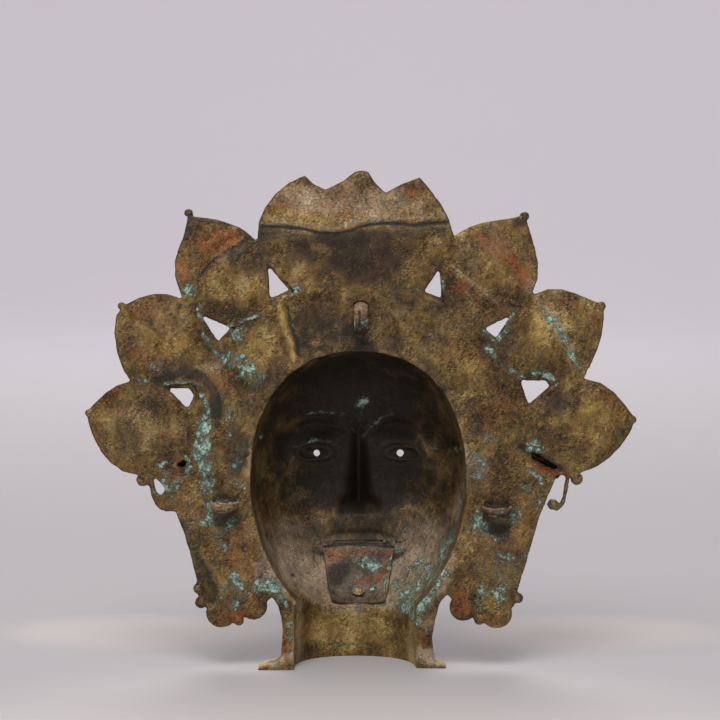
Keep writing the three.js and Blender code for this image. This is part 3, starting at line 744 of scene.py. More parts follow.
@dataclass(frozen=True)
class Streak:
    """A line of a film along pixels of the photograph, with half its width in pixels."""

    film: Film
    line: tuple[tuple[float, float], ...]
    half_width: float
    strength: float

    def value(self, pixels: Array, wobble: Array) -> Array:
        """Strength of the film at pixels, with its edge shifted by a wobble."""
        away, _ = line_distance(pixels, list(self.line))
        return self.strength * (1 - smooth_step(0.4, 1.2, away / self.half_width + 0.35 * wobble))


@dataclass(frozen=True)
class Relief:
    """A low ridge or dent along pixels of the photograph, in pixels across and millimetres high."""

    line: tuple[tuple[float, float], ...]
    half_width: float
    height: float
    lumps: float = 0.0

    def value(self, pixels: Array, lumpy: Array) -> Array:
        """Height at pixels.

        Args:
            pixels: Places in the photograph.
            lumpy: Noise that makes it lumpy.

        Returns:
            One height for each place.
        """
        if len(self.line) == 1:
            away = np.linalg.norm(pixels - np.array(self.line[0]), axis=1)
        else:
            away, _ = line_distance(pixels, list(self.line))
        return self.height * (1 + self.lumps * lumpy) * np.exp(-((away / self.half_width) ** 2))


def reliefs(*rows: tuple) -> tuple[Relief, ...]:
    """Ridges and dents, each from half its width, its height, its lumps and the pixels of its line."""
    return tuple(Relief(row[3:], *row[:3]) for row in rows)


CREST_EDGE = (
    (261, 227), (285, 227), (303, 229), (320, 233), (337, 234), (350, 231), (363, 226), (383, 223),
    (400, 224), (417, 225), (447, 222))

HALO = (
    *Film.VERDIGRIS.patches(
        (246, 288, 7, 14, 0.42, 20), (190, 291, 8, 8, 0.85), (182, 279, 6, 12, 0.5),
        (186, 305, 7, 3, 0.8, -30), (157, 365, 13, 8, 0.5, -20), (143, 380, 13, 7, 0.72, -15),
        (121, 347, 3, 3, 1.0), (133, 345, 10, 3, 0.6, -36), (158, 309, 9, 6, 0.5), (257, 316, 3, 3, 1.0),
        (239, 335, 10, 16, 0.75, 25), (246, 371, 22, 14, 1.0, 35), (234, 362, 14, 12, 0.6),
        (226, 352, 14, 6, 0.62, 25), (288, 236, 26, 6, 0.48), (354, 222, 9, 6, 0.8),
        (379, 220, 13, 3.5, 0.7), (298, 288, 9, 6, 0.62), (420, 287, 4, 7, 0.6), (442, 284, 3.4, 13, 0.75),
        (531, 290, 6, 10, 0.5), (566, 347, 9, 20, 0.62, -28), (556, 318, 8, 10, 0.5),
        (512, 352, 13, 9, 0.62), (489, 353, 8, 7, 0.4), (548, 322, 18, 12, 0.4, 30),
        (570, 330, 16, 20, 0.35), (540, 371, 18, 5, 0.5), (558, 384, 3, 3, 1.0), (600, 400, 26, 18, 0.25)),
    *Film.VERDIGRIS.streaks(
        (3.2, 0.85, (160, 386), (172, 381), (196, 383), (203, 398), (208, 410)),
        (3.6, 0.8, (199, 305), (200, 325), (206, 338), (216, 352), (226, 356)),
        (1.8, 0.95, (228, 326), (243, 321), (257, 316)),
        (2, 0.7, (262, 300), (280, 303), (296, 292), (303, 284)),
        (3.0, 1.0, (537, 300), (546, 316), (560, 329), (568, 350), (580, 368)),
        (5, 0.7, (486, 346), (497, 361), (512, 372), (524, 377)),
        (3.4, 0.75, (484, 331), (496, 341), (506, 331), (513, 318)),
        (3.4, 0.85, (520, 378), (536, 374), (552, 378)), (2, 0.9, (505, 323), (512, 316), (514, 309)),
        (3, 0.6, (488, 345), (499, 360), (514, 374))),
    # Soot patches: partly dark patina, partly painted shade, as in the crown's hollow under the crest and
    # under the folds of the upper petals.
    *Film.SOOT_AND_SHADE.patches(
        (190, 217, 7, 12, 0.6), (236, 254, 19, 9, 0.6, -33), (214, 286, 9, 20, 0.5, 20),
        (262, 258, 14, 20, 0.6), (236, 314, 22, 8, 0.6, 8), (150, 326, 16, 14, 0.4),
        (175, 322, 15, 15, 0.45), (150, 402, 14, 18, 0.45), (124, 430, 24, 34, 0.45),
        (362, 178, 12, 5, 0.5), (370, 206, 30, 9, 0.3), (362, 262, 72, 36, 0.7), (300, 252, 24, 16, 0.5),
        (320, 326, 36, 26, 0.62), (392, 300, 28, 28, 0.4), (361, 345, 14, 10, 0.7), (452, 300, 26, 30, 0.4),
        (470, 262, 14, 22, 0.5), (521, 222, 10, 6, 0.6), (505, 345, 24, 14, 0.4), (560, 405, 22, 14, 0.5)),
    # Soot streaks: painted shadow lines along the fold of the upper left petal, the raised arch of the
    # lower left one, under the crest's lip and along its edge, and beside a raised vein.
    *Film.SOOT_AND_SHADE.streaks(
        (2.2, 1.0, (249, 237), (240, 243), (229, 249), (218, 257), (207, 266), (200, 276)),
        (8, 0.85, (158, 380), (180, 372), (204, 377), (214, 394), (216, 414)),
        (9, 0.6, (262, 236), (290, 238), (330, 241), (362, 235), (400, 231), (445, 231)),
        (2.2, 1.0, *CREST_EDGE), (1.6, 1.0, (288, 306), (290, 326), (296, 342), (299, 356))),
    *Film.COPPER.patches(
        (222, 239, 27, 12, 1.0, -10), (216, 243, 15, 10, 1.0), (184, 268, 7, 20, 0.75, -6),
        (205, 262, 9, 12, 0.4), (182, 302, 7, 4, 0.8), (150, 312, 30, 11, 0.4, -4),
        (138, 352, 18, 9, 0.45, 30), (108, 397, 22, 8, 0.6, -38), (98, 437, 10, 18, 0.45, -30),
        (225, 382, 20, 14, 0.4), (352, 190, 46, 10, 0.4), (350, 210, 90, 14, 0.35),
        (283, 205, 14, 7, 0.5, -20), (414, 192, 17, 10, 0.6, 20), (362, 262, 72, 36, 0.3),
        (364, 300, 7, 3, 0.7), (459, 286, 10, 9, 0.7), (455, 288, 14, 10, 0.6), (597, 320, 6, 9, 0.6),
        (575, 305, 18, 7, 0.4, 15), (608, 396, 22, 9, 0.45, 38), (515, 400, 24, 24, 0.3)),
    *Film.COPPER.streaks(
        (9, 0.75, (480, 240), (500, 250), (520, 268), (528, 284))),
    *Film.GOLD_AND_SHEEN.patches(
        (213, 283, 12, 14, 0.9), (240, 292, 26, 15, 1.0), (160, 340, 30, 26, 0.5), (112, 428, 14, 24, 0.4),
        (256, 352, 28, 20, 0.65, -25), (276, 216, 17, 12, 0.7), (345, 205, 90, 20, 0.5),
        (284, 240, 24, 7, 0.55), (318, 286, 18, 12, 0.55), (300, 268, 12, 10, 0.3), (435, 245, 18, 12, 0.4),
        (496, 262, 26, 16, 0.25), (461, 236, 9, 6, 0.7), (552, 336, 34, 28, 0.85), (596, 418, 34, 26, 0.6),
        (462, 376, 34, 36, 0.5)),
    *Film.GOLD_AND_SHEEN.streaks(
        (4, 0.85, (283, 297), (279, 310), (284, 328), (291, 344), (294, 360)),
        (5, 0.5, (455, 267), (475, 285), (497, 303))),
    # Haze patches: pale film; the wide one over the crest is also a painted highlight on its lit band.
    *Film.HAZE_AND_SHEEN.patches(
        (244, 282, 9, 16, 0.5, 15), (156, 366, 12, 7, 0.6, -20), (216, 366, 16, 12, 0.5),
        (306, 198, 20, 13, 0.35), (352, 202, 100, 24, 0.58), (496, 246, 30, 12, 0.4, 20),
        (530, 287, 8, 12, 0.8), (558, 332, 10, 24, 0.5, -32)),
    # Haze streaks: pale film; the one above the crest's edge is a painted highlight on its lit band.
    *Film.HAZE_AND_SHEEN.streaks(
        (6, 0.4, (160, 377), (182, 370), (204, 376), (213, 392), (214, 412)),
        (3, 0.6, (262, 223), (303, 225), (330, 229), (363, 221), (400, 218), (443, 217)),
        (1.3, 0.9, (455, 267), (475, 285), (497, 303)),
        (5, 0.5, (537, 296), (548, 312), (560, 331), (572, 350))),
)

PANELS = (
    *Film.VERDIGRIS.patches(
        (172, 482, 15, 11, 0.62), (160, 478, 8, 10, 0.5), (196, 452, 8, 10, 0.55), (160, 492, 5, 6, 0.75),
        (227, 520, 24, 16, 0.5), (237, 452, 10, 20, 0.45), (234, 467, 5, 5, 0.7), (207, 521, 9, 8, 0.9),
        (231, 524, 8, 6, 0.6), (222, 540, 16, 16, 0.4), (222, 545, 14, 6, 0.5, 50), (261, 437, 4, 4, 1.0),
        (210, 508, 8, 12, 0.7), (236, 588, 18, 16, 0.75), (234, 606, 6, 6, 0.95),
        (229, 574, 6, 12, 0.55, 10), (479, 466, 15, 17, 0.68), (537, 447, 10, 8, 0.95),
        (524, 484, 12, 18, 0.45), (552, 506, 7, 7, 0.55), (492, 524, 9, 8, 0.7), (478, 524, 9, 18, 0.5),
        (500, 550, 36, 50, 0.5), (516, 508, 14, 14, 0.5), (480, 598, 8, 15, 1.0), (500, 597, 12, 9, 1.0),
        (486, 440, 16, 10, 0.4)),
    *Film.VERDIGRIS.streaks(
        (11, 0.85, (205, 422), (203, 446), (206, 470), (209, 496)),
        (3.2, 0.65, (222, 393), (229, 408), (226, 426), (232, 440)),
        (2, 0.9, (226, 480), (236, 482), (246, 489)),
        (2.6, 0.8, (147, 478), (155, 467), (166, 463), (173, 461)),
        (3.4, 0.85, (186, 458), (190, 466), (187, 475), (180, 483), (175, 488)),
        (2.2, 0.85, (162, 480), (167, 489), (170, 495), (173, 501)),
        (2.0, 0.7, (150, 483), (155, 493), (161, 500), (168, 502)),
        (3, 0.8, (528, 470), (539, 477), (543, 492), (540, 504))),
    # Soot patches: the ones under and round the two side loops are painted shadow.
    *Film.SOOT_AND_SHADE.patches(
        (168, 468, 10, 5, 0.6), (225, 521, 20, 9, 1.0), (227, 505, 23, 17, 0.85), (238, 452, 14, 40, 0.68),
        (122, 432, 26, 22, 0.3), (210, 598, 10, 8, 0.5), (570, 472, 8, 3, 0.6), (496, 528, 19, 10, 1.0),
        (497, 511, 20, 12, 0.7), (506, 560, 20, 26, 0.4)),
    # Soot streaks: the one in the groove of the left ear is painted shade.
    *Film.SOOT_AND_SHADE.streaks(
        (6, 0.55, (193, 550), (204, 568), (216, 590)), (4, 0.9, (520, 446), (545, 458), (560, 468))),
    *Film.COPPER.patches(
        (181, 462, 8, 4, 1.0, -30), (176, 474, 13, 6, 0.6), (234, 560, 30, 32, 0.35), (160, 503, 3, 3, 0.9),
        (192, 585, 8, 22, 0.4), (222, 616, 18, 10, 0.4), (242, 616, 16, 6, 0.95),
        (544, 467, 13, 6, 0.9, 20), (562, 476, 9, 5, 0.9), (494, 548, 24, 26, 0.5),
        (520, 540, 10, 26, 0.4, 14), (497, 560, 6, 5, 0.95), (460, 600, 12, 11, 1.0),
        (463, 606, 9, 12, 1.0), (492, 618, 16, 7, 0.5), (486, 420, 24, 30, 0.3)),
    *Film.GOLD_AND_SHEEN.patches(
        (236, 566, 24, 30, 0.5), (505, 535, 26, 34, 0.55)),
    *Film.HAZE_AND_SHEEN.patches(
        (192, 520, 10, 22, 0.4), (167, 472, 9, 6, 0.6), (236, 606, 6, 5, 0.7), (478, 466, 15, 17, 0.8),
        (518, 600, 6, 5, 0.6)),
    *Film.HAZE_AND_SHEEN.streaks(
        (8, 0.6, (205, 428), (203, 446), (205, 462)), (3.4, 0.55, (200, 552), (209, 566), (214, 580))),
)

BOWL = (
    *Film.VERDIGRIS.patches(
        (364, 402, 7, 6, 0.95), (318, 438, 18, 3, 0.42, -6), (410, 580, 30, 20, 0.85, -30),
        (440, 556, 14, 24, 0.6, 25), (300, 572, 22, 18, 0.36), (401, 551, 7, 3, 1.0, -20)),
    *Film.VERDIGRIS.streaks(
        (1.6, 0.82, (296, 416), (322, 412), (344, 414), (362, 404), (388, 399)),
        (2.4, 0.7, (364, 402), (360, 420), (354, 434)),
        (2.4, 0.85, (353, 430), (362, 437), (372, 426), (382, 417), (392, 414)),
        (2.2, 0.85, (422, 441), (434, 449), (448, 452), (463, 447)),
        (1.6, 0.6, (285, 448), (300, 446), (316, 440), (330, 442)),
        (4, 0.6, (464, 470), (461, 505), (451, 540), (432, 578)),
        (2.2, 0.72, (333, 605), (346, 608), (366, 608), (384, 604))),
    # Soot over the upper hollow: partly black patina, partly painted shade where the wall faces down, away
    # from the light.
    *Film.SOOT_AND_SHADE.patches(
        (357, 412, 114, 84, 1.0), (360, 474, 104, 56, 0.9), (364, 520, 64, 34, 0.7),
        (293, 575, 4, 2.4, 1.0)),
    # Soot streaks: painted shade in the nose's hollow and at both ends of the mouth's slit.
    *Film.SOOT_AND_SHADE.streaks(
        (17, 0.95, (358, 440), (358, 505)), (4, 1.0, (317, 551), (324, 556)),
        (4, 1.0, (404, 551), (394, 558))),
    *Film.COPPER.patches(
        (302, 470, 16, 4, 0.35)),
    # Gold and haze on the lower hollow: partly pale film, partly painted sheen where its wall faces up to
    # the light.
    *Film.GOLD_AND_SHEEN.patches(
        (352, 580, 90, 34, 0.6), (300, 578, 30, 26, 0.6, 30), (420, 576, 36, 28, 0.8, -30)),
    *Film.HAZE_AND_SHEEN.patches(
        (362, 520, 84, 30, 0.4), (352, 574, 90, 38, 1.0), (294, 560, 38, 48, 1.0, -28),
        (418, 562, 42, 46, 1.0, 30), (452, 520, 10, 44, 0.55, 12)),
    # Haze streaks: painted highlights along the rims of the hollow.
    *Film.HAZE_AND_SHEEN.streaks(
        (2.4, 0.7, (250, 440), (252, 490), (262, 530), (280, 570)),
        (2.4, 0.8, (466, 440), (465, 490), (456, 530), (440, 566))),
)

NECK = (
    *Film.VERDIGRIS.patches(
        (266, 587, 17, 9, 1.0, -6), (379, 645, 5, 6, 0.8), (405, 606, 14, 14, 0.8, 20),
        (428, 628, 4, 9, 1.0, 10), (288, 650, 3, 6, 0.7), (420, 655, 5, 6, 0.7), (279, 663, 9, 4, 0.65)),
    *Film.VERDIGRIS.streaks(
        (3.6, 0.8, (278, 592), (286, 604), (291, 625), (290, 640)),
        (3.4, 0.6, (316, 640), (333, 645), (352, 646), (372, 644), (384, 641)),
        (8, 0.9, (444, 572), (430, 590), (420, 606), (417, 620))),
    *Film.SOOT_AND_SHADE.patches(
        (292, 604, 10, 8, 0.3), (398, 620, 10, 26, 0.3), (404, 604, 10, 10, 0.6)),
    *Film.COPPER.patches(
        (424, 636, 8, 14, 0.5), (285, 648, 5, 16, 0.95), (266, 664, 7, 3, 0.7), (265, 667, 5, 3, 0.8)),
    *Film.GOLD_AND_SHEEN.patches(
        (350, 628, 70, 26, 1.0), (274, 660, 20, 8, 0.8, -12), (430, 656, 18, 9, 0.7, 15)),
    # Gold streaks: painted light down the neck's side walls, which lifts their shade.
    *Film.GOLD_AND_SHEEN.streaks(
        (7, 1.0, (297, 602), (296, 658)), (6, 1.0, (411, 602), (413, 658))),
    *Film.HAZE_AND_SHEEN.patches(
        (266, 586, 14, 6, 0.9), (350, 628, 66, 24, 0.3), (428, 600, 8, 16, 0.6, 25),
        (428, 629, 4, 9, 0.9, 10), (274, 660, 22, 8, 1.0, -12), (430, 656, 20, 10, 0.9, 15),
        (298, 655, 12, 6, 0.5)),
    # Haze streaks: the same painted light down the neck's side walls.
    *Film.HAZE_AND_SHEEN.streaks(
        (6, 0.55, (297, 602), (296, 658)), (5, 0.5, (411, 602), (413, 658))),
)

TONGUE = (
    *Film.VERDIGRIS.patches(
        (369, 564, 15, 10, 1.0, 15), (372, 589, 4, 5, 1.0), (357, 604, 3, 4, 0.6)),
    *Film.VERDIGRIS.streaks(
        (3.2, 0.8, (392, 558), (388, 572), (384, 586))),
    *Film.SOOT_AND_SHADE.patches(
        (350, 578, 34, 28, 0.5), (338, 572, 15, 15, 0.7), (376, 560, 14, 8, 0.5), (352, 596, 16, 6, 0.4)),
    # Soot streak: painted shade along the bend where the plate passes the mouth's slit.
    *Film.SOOT_AND_SHADE.streaks(
        (3, 0.8, (324, 545), (358, 544), (393, 546))),
    *Film.COPPER.patches(
        (334, 558, 14, 6, 0.75, 12), (392, 556, 8, 4, 0.7), (327, 572, 3, 16, 0.7, -8)),
    *Film.COPPER.streaks(
        (2.8, 1.0, (356, 584), (366, 580), (374, 580), (382, 574), (386, 564)),
        (2.4, 0.9, (326, 552), (352, 551), (392, 554))),
    *Film.HAZE_AND_SHEEN.patches(
        (346, 562, 3, 3, 0.8), (345, 590, 16, 10, 0.35), (352, 604, 22, 4, 0.5)),
)

FILMS = (*HALO, *PANELS, *BOWL, *NECK)

RELIEFS = reliefs(
    (3.2, -0.75, 0, (246, 232), (228, 240), (211, 253), (199, 270), (189, 290)),
    (4.0, 0.4, 0, (243, 227), (225, 234), (206, 247), (194, 264), (183, 284)),
    (1.6, -0.4, 0, (200, 226), (214, 224), (233, 224)), (2.4, -0.7, 0, *CREST_EDGE),
    (4.0, 0.4, 0, (262, 221), (303, 223), (330, 227), (363, 219), (400, 217), (443, 216)),
    (3.0, 0.6, 0.9, (283, 297), (279, 310), (284, 328), (291, 344), (294, 360)),
    (1.8, 0.45, 0, (228, 326), (243, 321), (257, 316)), (3.0, 0.6, 0, (257, 316)),
    (2.4, 0.9, 0, (179, 302), (187, 307), (193, 301)),
    (3.0, 0.45, 0.6, (537, 300), (548, 315), (560, 331), (572, 350), (580, 368)),
    (5.0, -0.4, 0, (532, 298), (520, 285), (505, 262), (498, 240)),
    (6.0, 0.5, 0, (158, 380), (180, 371), (204, 376), (214, 394), (214, 414)),
    (4.6, -1.1, 0, (193, 550), (204, 568), (216, 590)), (4.0, 0.8, 0, (203, 552), (212, 566), (222, 584)),
    (3.2, -1.4, 0, (497, 560)), (6.0, 0.7, 1.4, (501, 597)), (6.0, 0.5, 1.4, (481, 596)),
    (12.0, 0.8, 1.2, (266, 586)), (8.0, 0.8, 1.2, (444, 572), (430, 590), (420, 606), (417, 620)),
    (5.0, 0.9, 0.8, (428, 628)), (14.0, 0.4, 1.5, (246, 371)),
    (8.0, 0.3, 1.5, (205, 422), (203, 446), (206, 470), (209, 496)),
    (1.4, -0.3, 0, (455, 267), (475, 285), (497, 303)), (1.5, -0.3, 0, (127, 355), (145, 338)),
    (2.6, -0.8, 0, (337, 186)), (2.2, -0.7, 0, (395, 196)), (2.0, -0.7, 0, (408, 190)),
    (3.2, -1.0, 0, (597, 309)), (2.4, -1.2, 0, (159, 502)),
    (2.2, -0.4, 0.4, (296, 648), (316, 646), (340, 645), (366, 645), (392, 647)),
    (3.0, -2.2, 0, (211, 602)), (2.4, -0.9, 0, (261, 437)), (1.8, -0.8, 0, (293, 575), (297, 577)),
)


@dataclass(frozen=True)
class Painter:
    """Puts films, painted shade and sheen among them, and low relief where the photograph shows them, on
    what is seen from behind.
    """

    view: PhotoView

    def behind(self, skin: Skin) -> Array:
        """1 where the skin looks back, 0 where it looks forward."""
        return smooth_step(-0.1, 0.3, skin.normals[:, 1])

    def films(self, skin: Skin, marks: tuple[Patch | Streak, ...]) -> dict[Film, Array]:
        """Strength of each film at each vertex.

        Args:
            skin: The dense skin to be painted.
            marks: The patches and streaks to be put on it.

        Returns:
            One array for each film, from 0 to 1.
        """
        pixels = self.view.pixels(skin.in_metres())
        wobble = fractal_noise(skin.points, 9.0, 3, 17)
        seen = self.behind(skin)
        bare = {film: np.ones(len(seen)) for film in Film}
        for mark in marks:
            bare[mark.film] *= 1 - mark.value(pixels, wobble)
        films = {film: (1 - left) * seen for film, left in bare.items()}
        broken = smooth_step(-0.45, 0.35, fractal_noise(skin.points, 4.0, 3, 91))
        films[Film.VERDIGRIS] = films[Film.VERDIGRIS] * (0.45 + 0.55 * broken)
        return films

    def relief(self, skin: Skin) -> Array:
        """Height of the low relief at each vertex.

        Args:
            skin: The dense skin.

        Returns:
            The heights, in millimetres.
        """
        pixels = self.view.pixels(skin.in_metres())
        lumpy = fractal_noise(skin.points, 4.5, 2, 29)
        return self.behind(skin) * sum(mark.value(pixels, lumpy) for mark in RELIEFS)


# Finishes


@dataclass
class NodeTree:
    """The nodes of a material, from textures on the piece's own coordinates to its shader."""

    name: str
    material: bpy.types.Material = field(init=False)
    nodes: bpy.types.Nodes = field(init=False)
    links: bpy.types.NodeLinks = field(init=False)
    shader: bpy.types.Node = field(init=False)
    coordinates: Socket = field(init=False)

    def __post_init__(self) -> None:
        """Makes the material with its shader and its coordinates."""
        self.material = bpy.data.materials.new(self.name)
        self.material.use_nodes = True
        self.nodes = self.material.node_tree.nodes
        self.links = self.material.node_tree.links
        self.shader = next(node for node in self.nodes if node.type == "BSDF_PRINCIPLED")
        self.coordinates = self.nodes.new("ShaderNodeTexCoord").outputs["Object"]

    def put(self, socket: Socket, value: Socket | float | Colour) -> None:
        """Links a socket to another, or sets its own value.

        Args:
            socket: The input.
            value: A socket to link, or the value to set.
        """
        if isinstance(value, bpy.types.NodeSocket):
            self.links.new(value, socket)
        elif isinstance(value, tuple) and len(value) == 3 and socket.type == "RGBA":
            socket.default_value = (*value, 1.0)
        else:
            socket.default_value = value

    def noise(self, size: float, detail: float, rough: float, bend: float = 0.0,
              drawn: Colour | None = None, turn: float = 0.0) -> Socket:
        """Noise on the piece.

        Args:
            size: Width of its main features in millimetres.
            detail: How many finer sizes it holds.
            rough: How strong the finer sizes are.
            bend: How far it is distorted.
            drawn: How many times its features are drawn out along each axis.
            turn: Turn of the drawn-out features about the y axis, in degrees.

        Returns:
            The noise's value socket, around 0.5.
        """
        place = self.coordinates
        if drawn:
            mapping = self.nodes.new("ShaderNodeMapping")
            mapping.vector_type = "TEXTURE"
            mapping.inputs["Rotation"].default_value = (0.0, math.radians(turn), 0.0)
            mapping.inputs["Scale"].default_value = drawn
            self.links.new(place, mapping.inputs["Vector"])
            place = mapping.outputs["Vector"]
        node = self.nodes.new("ShaderNodeTexNoise")
        node.inputs["Scale"].default_value = 1 / (size * MM)
        node.inputs["Detail"].default_value = detail
        node.inputs["Roughness"].default_value = rough
        node.inputs["Distortion"].default_value = bend
        self.links.new(place, node.inputs["Vector"])
        return node.outputs["Fac"]

    def layer(self, name: str) -> Socket:
        """The value of one of the mesh's own attributes.

        Args:
            name: The attribute's name.

        Returns:
            Its value socket.
        """
        node = self.nodes.new("ShaderNodeAttribute")
        node.attribute_name = name
        return node.outputs["Fac"]

    def math(self, kind: str, first: Socket | float, second: Socket | float) -> Socket:
        """The result of a sum on two values.

        Args:
            kind: The sum's name in Blender.
            first: First value.
            second: Second value.

        Returns:
            The result's socket.
        """
        node = self.nodes.new("ShaderNodeMath")
        node.operation = kind
        self.put(node.inputs[0], first)
        self.put(node.inputs[1], second)
        return node.outputs[0]

    def weighted(self, terms: list[tuple[Socket, float]], shift: float) -> Socket:
        """The sum of values, each times its weight, and a shift.

        Args:
            terms: Values with their weights.
            shift: What is added to them.

        Returns:
            The sum's socket.
        """
        total: Socket | float = shift
        for value, weight in terms:
            node = self.nodes.new("ShaderNodeMath")
            node.operation = "MULTIPLY_ADD"
            self.put(node.inputs[0], value)
            node.inputs[1].default_value = weight
            self.put(node.inputs[2], total)
            total = node.outputs[0]
        return total

    def ease(self, value: Socket, low: float, high: float, out_low: float = 0.0,
             out_high: float = 1.0) -> Socket:
        """A value taken smoothly from one range to another, and kept inside it.

        Args:
            value: The value.
            low: Start of its range.
            high: End of its range.
            out_low: Result at the start.
            out_high: Result at the end.

        Returns:
            The result's socket.
        """
        node = self.nodes.new("ShaderNodeMapRange")
        node.interpolation_type = "SMOOTHSTEP"
        self.put(node.inputs["Value"], value)
        limits = {"From Min": low, "From Max": high, "To Min": out_low, "To Max": out_high}
        for name, limit in limits.items():
            node.inputs[name].default_value = limit
        return node.outputs["Result"]

    def ramp(self, value: Socket, stops: Stops) -> Socket:
        """Colours along a value.

        Args:
            value: The value.
            stops: Places and their colours.

        Returns:
            The colour's socket.
        """
        node = self.nodes.new("ShaderNodeValToRGB")
        elements = node.color_ramp.elements
        while len(elements) < len(stops):
            elements.new(1.0)
        for element, (place, colour) in zip(elements, stops):
            element.position = place
            element.color = (*colour, 1.0)
        self.put(node.inputs["Fac"], value)
        return node.outputs["Color"]

    def mix(self, share: Socket, low: Socket | Colour, high: Socket | Colour) -> Socket:
        """One colour laid over another.

        Args:
            share: Share of the upper colour.
            low: The lower colour.
            high: The upper colour.

        Returns:
            The colour's socket.
        """
        node = self.nodes.new("ShaderNodeMix")
        node.data_type = "RGBA"
        self.put(node.inputs[0], share)
        self.put(node.inputs[6], low)
        self.put(node.inputs[7], high)
        return node.outputs[2]

    def bump(self, height: Socket, depth: float, shaded_under: Socket | None = None) -> Socket:
        """A bumpy normal.

        Args:
            height: Height from 0 to 1.
            depth: What a height of 1 is, in millimetres.
            shaded_under: A normal that it is laid on.

        Returns:
            The normal's socket.
        """
        node = self.nodes.new("ShaderNodeBump")
        node.inputs["Strength"].default_value = 1.0
        node.inputs["Distance"].default_value = depth * MM
        self.put(node.inputs["Height"], height)
        if shaded_under:
            self.put(node.inputs["Normal"], shaded_under)
        return node.outputs["Normal"]


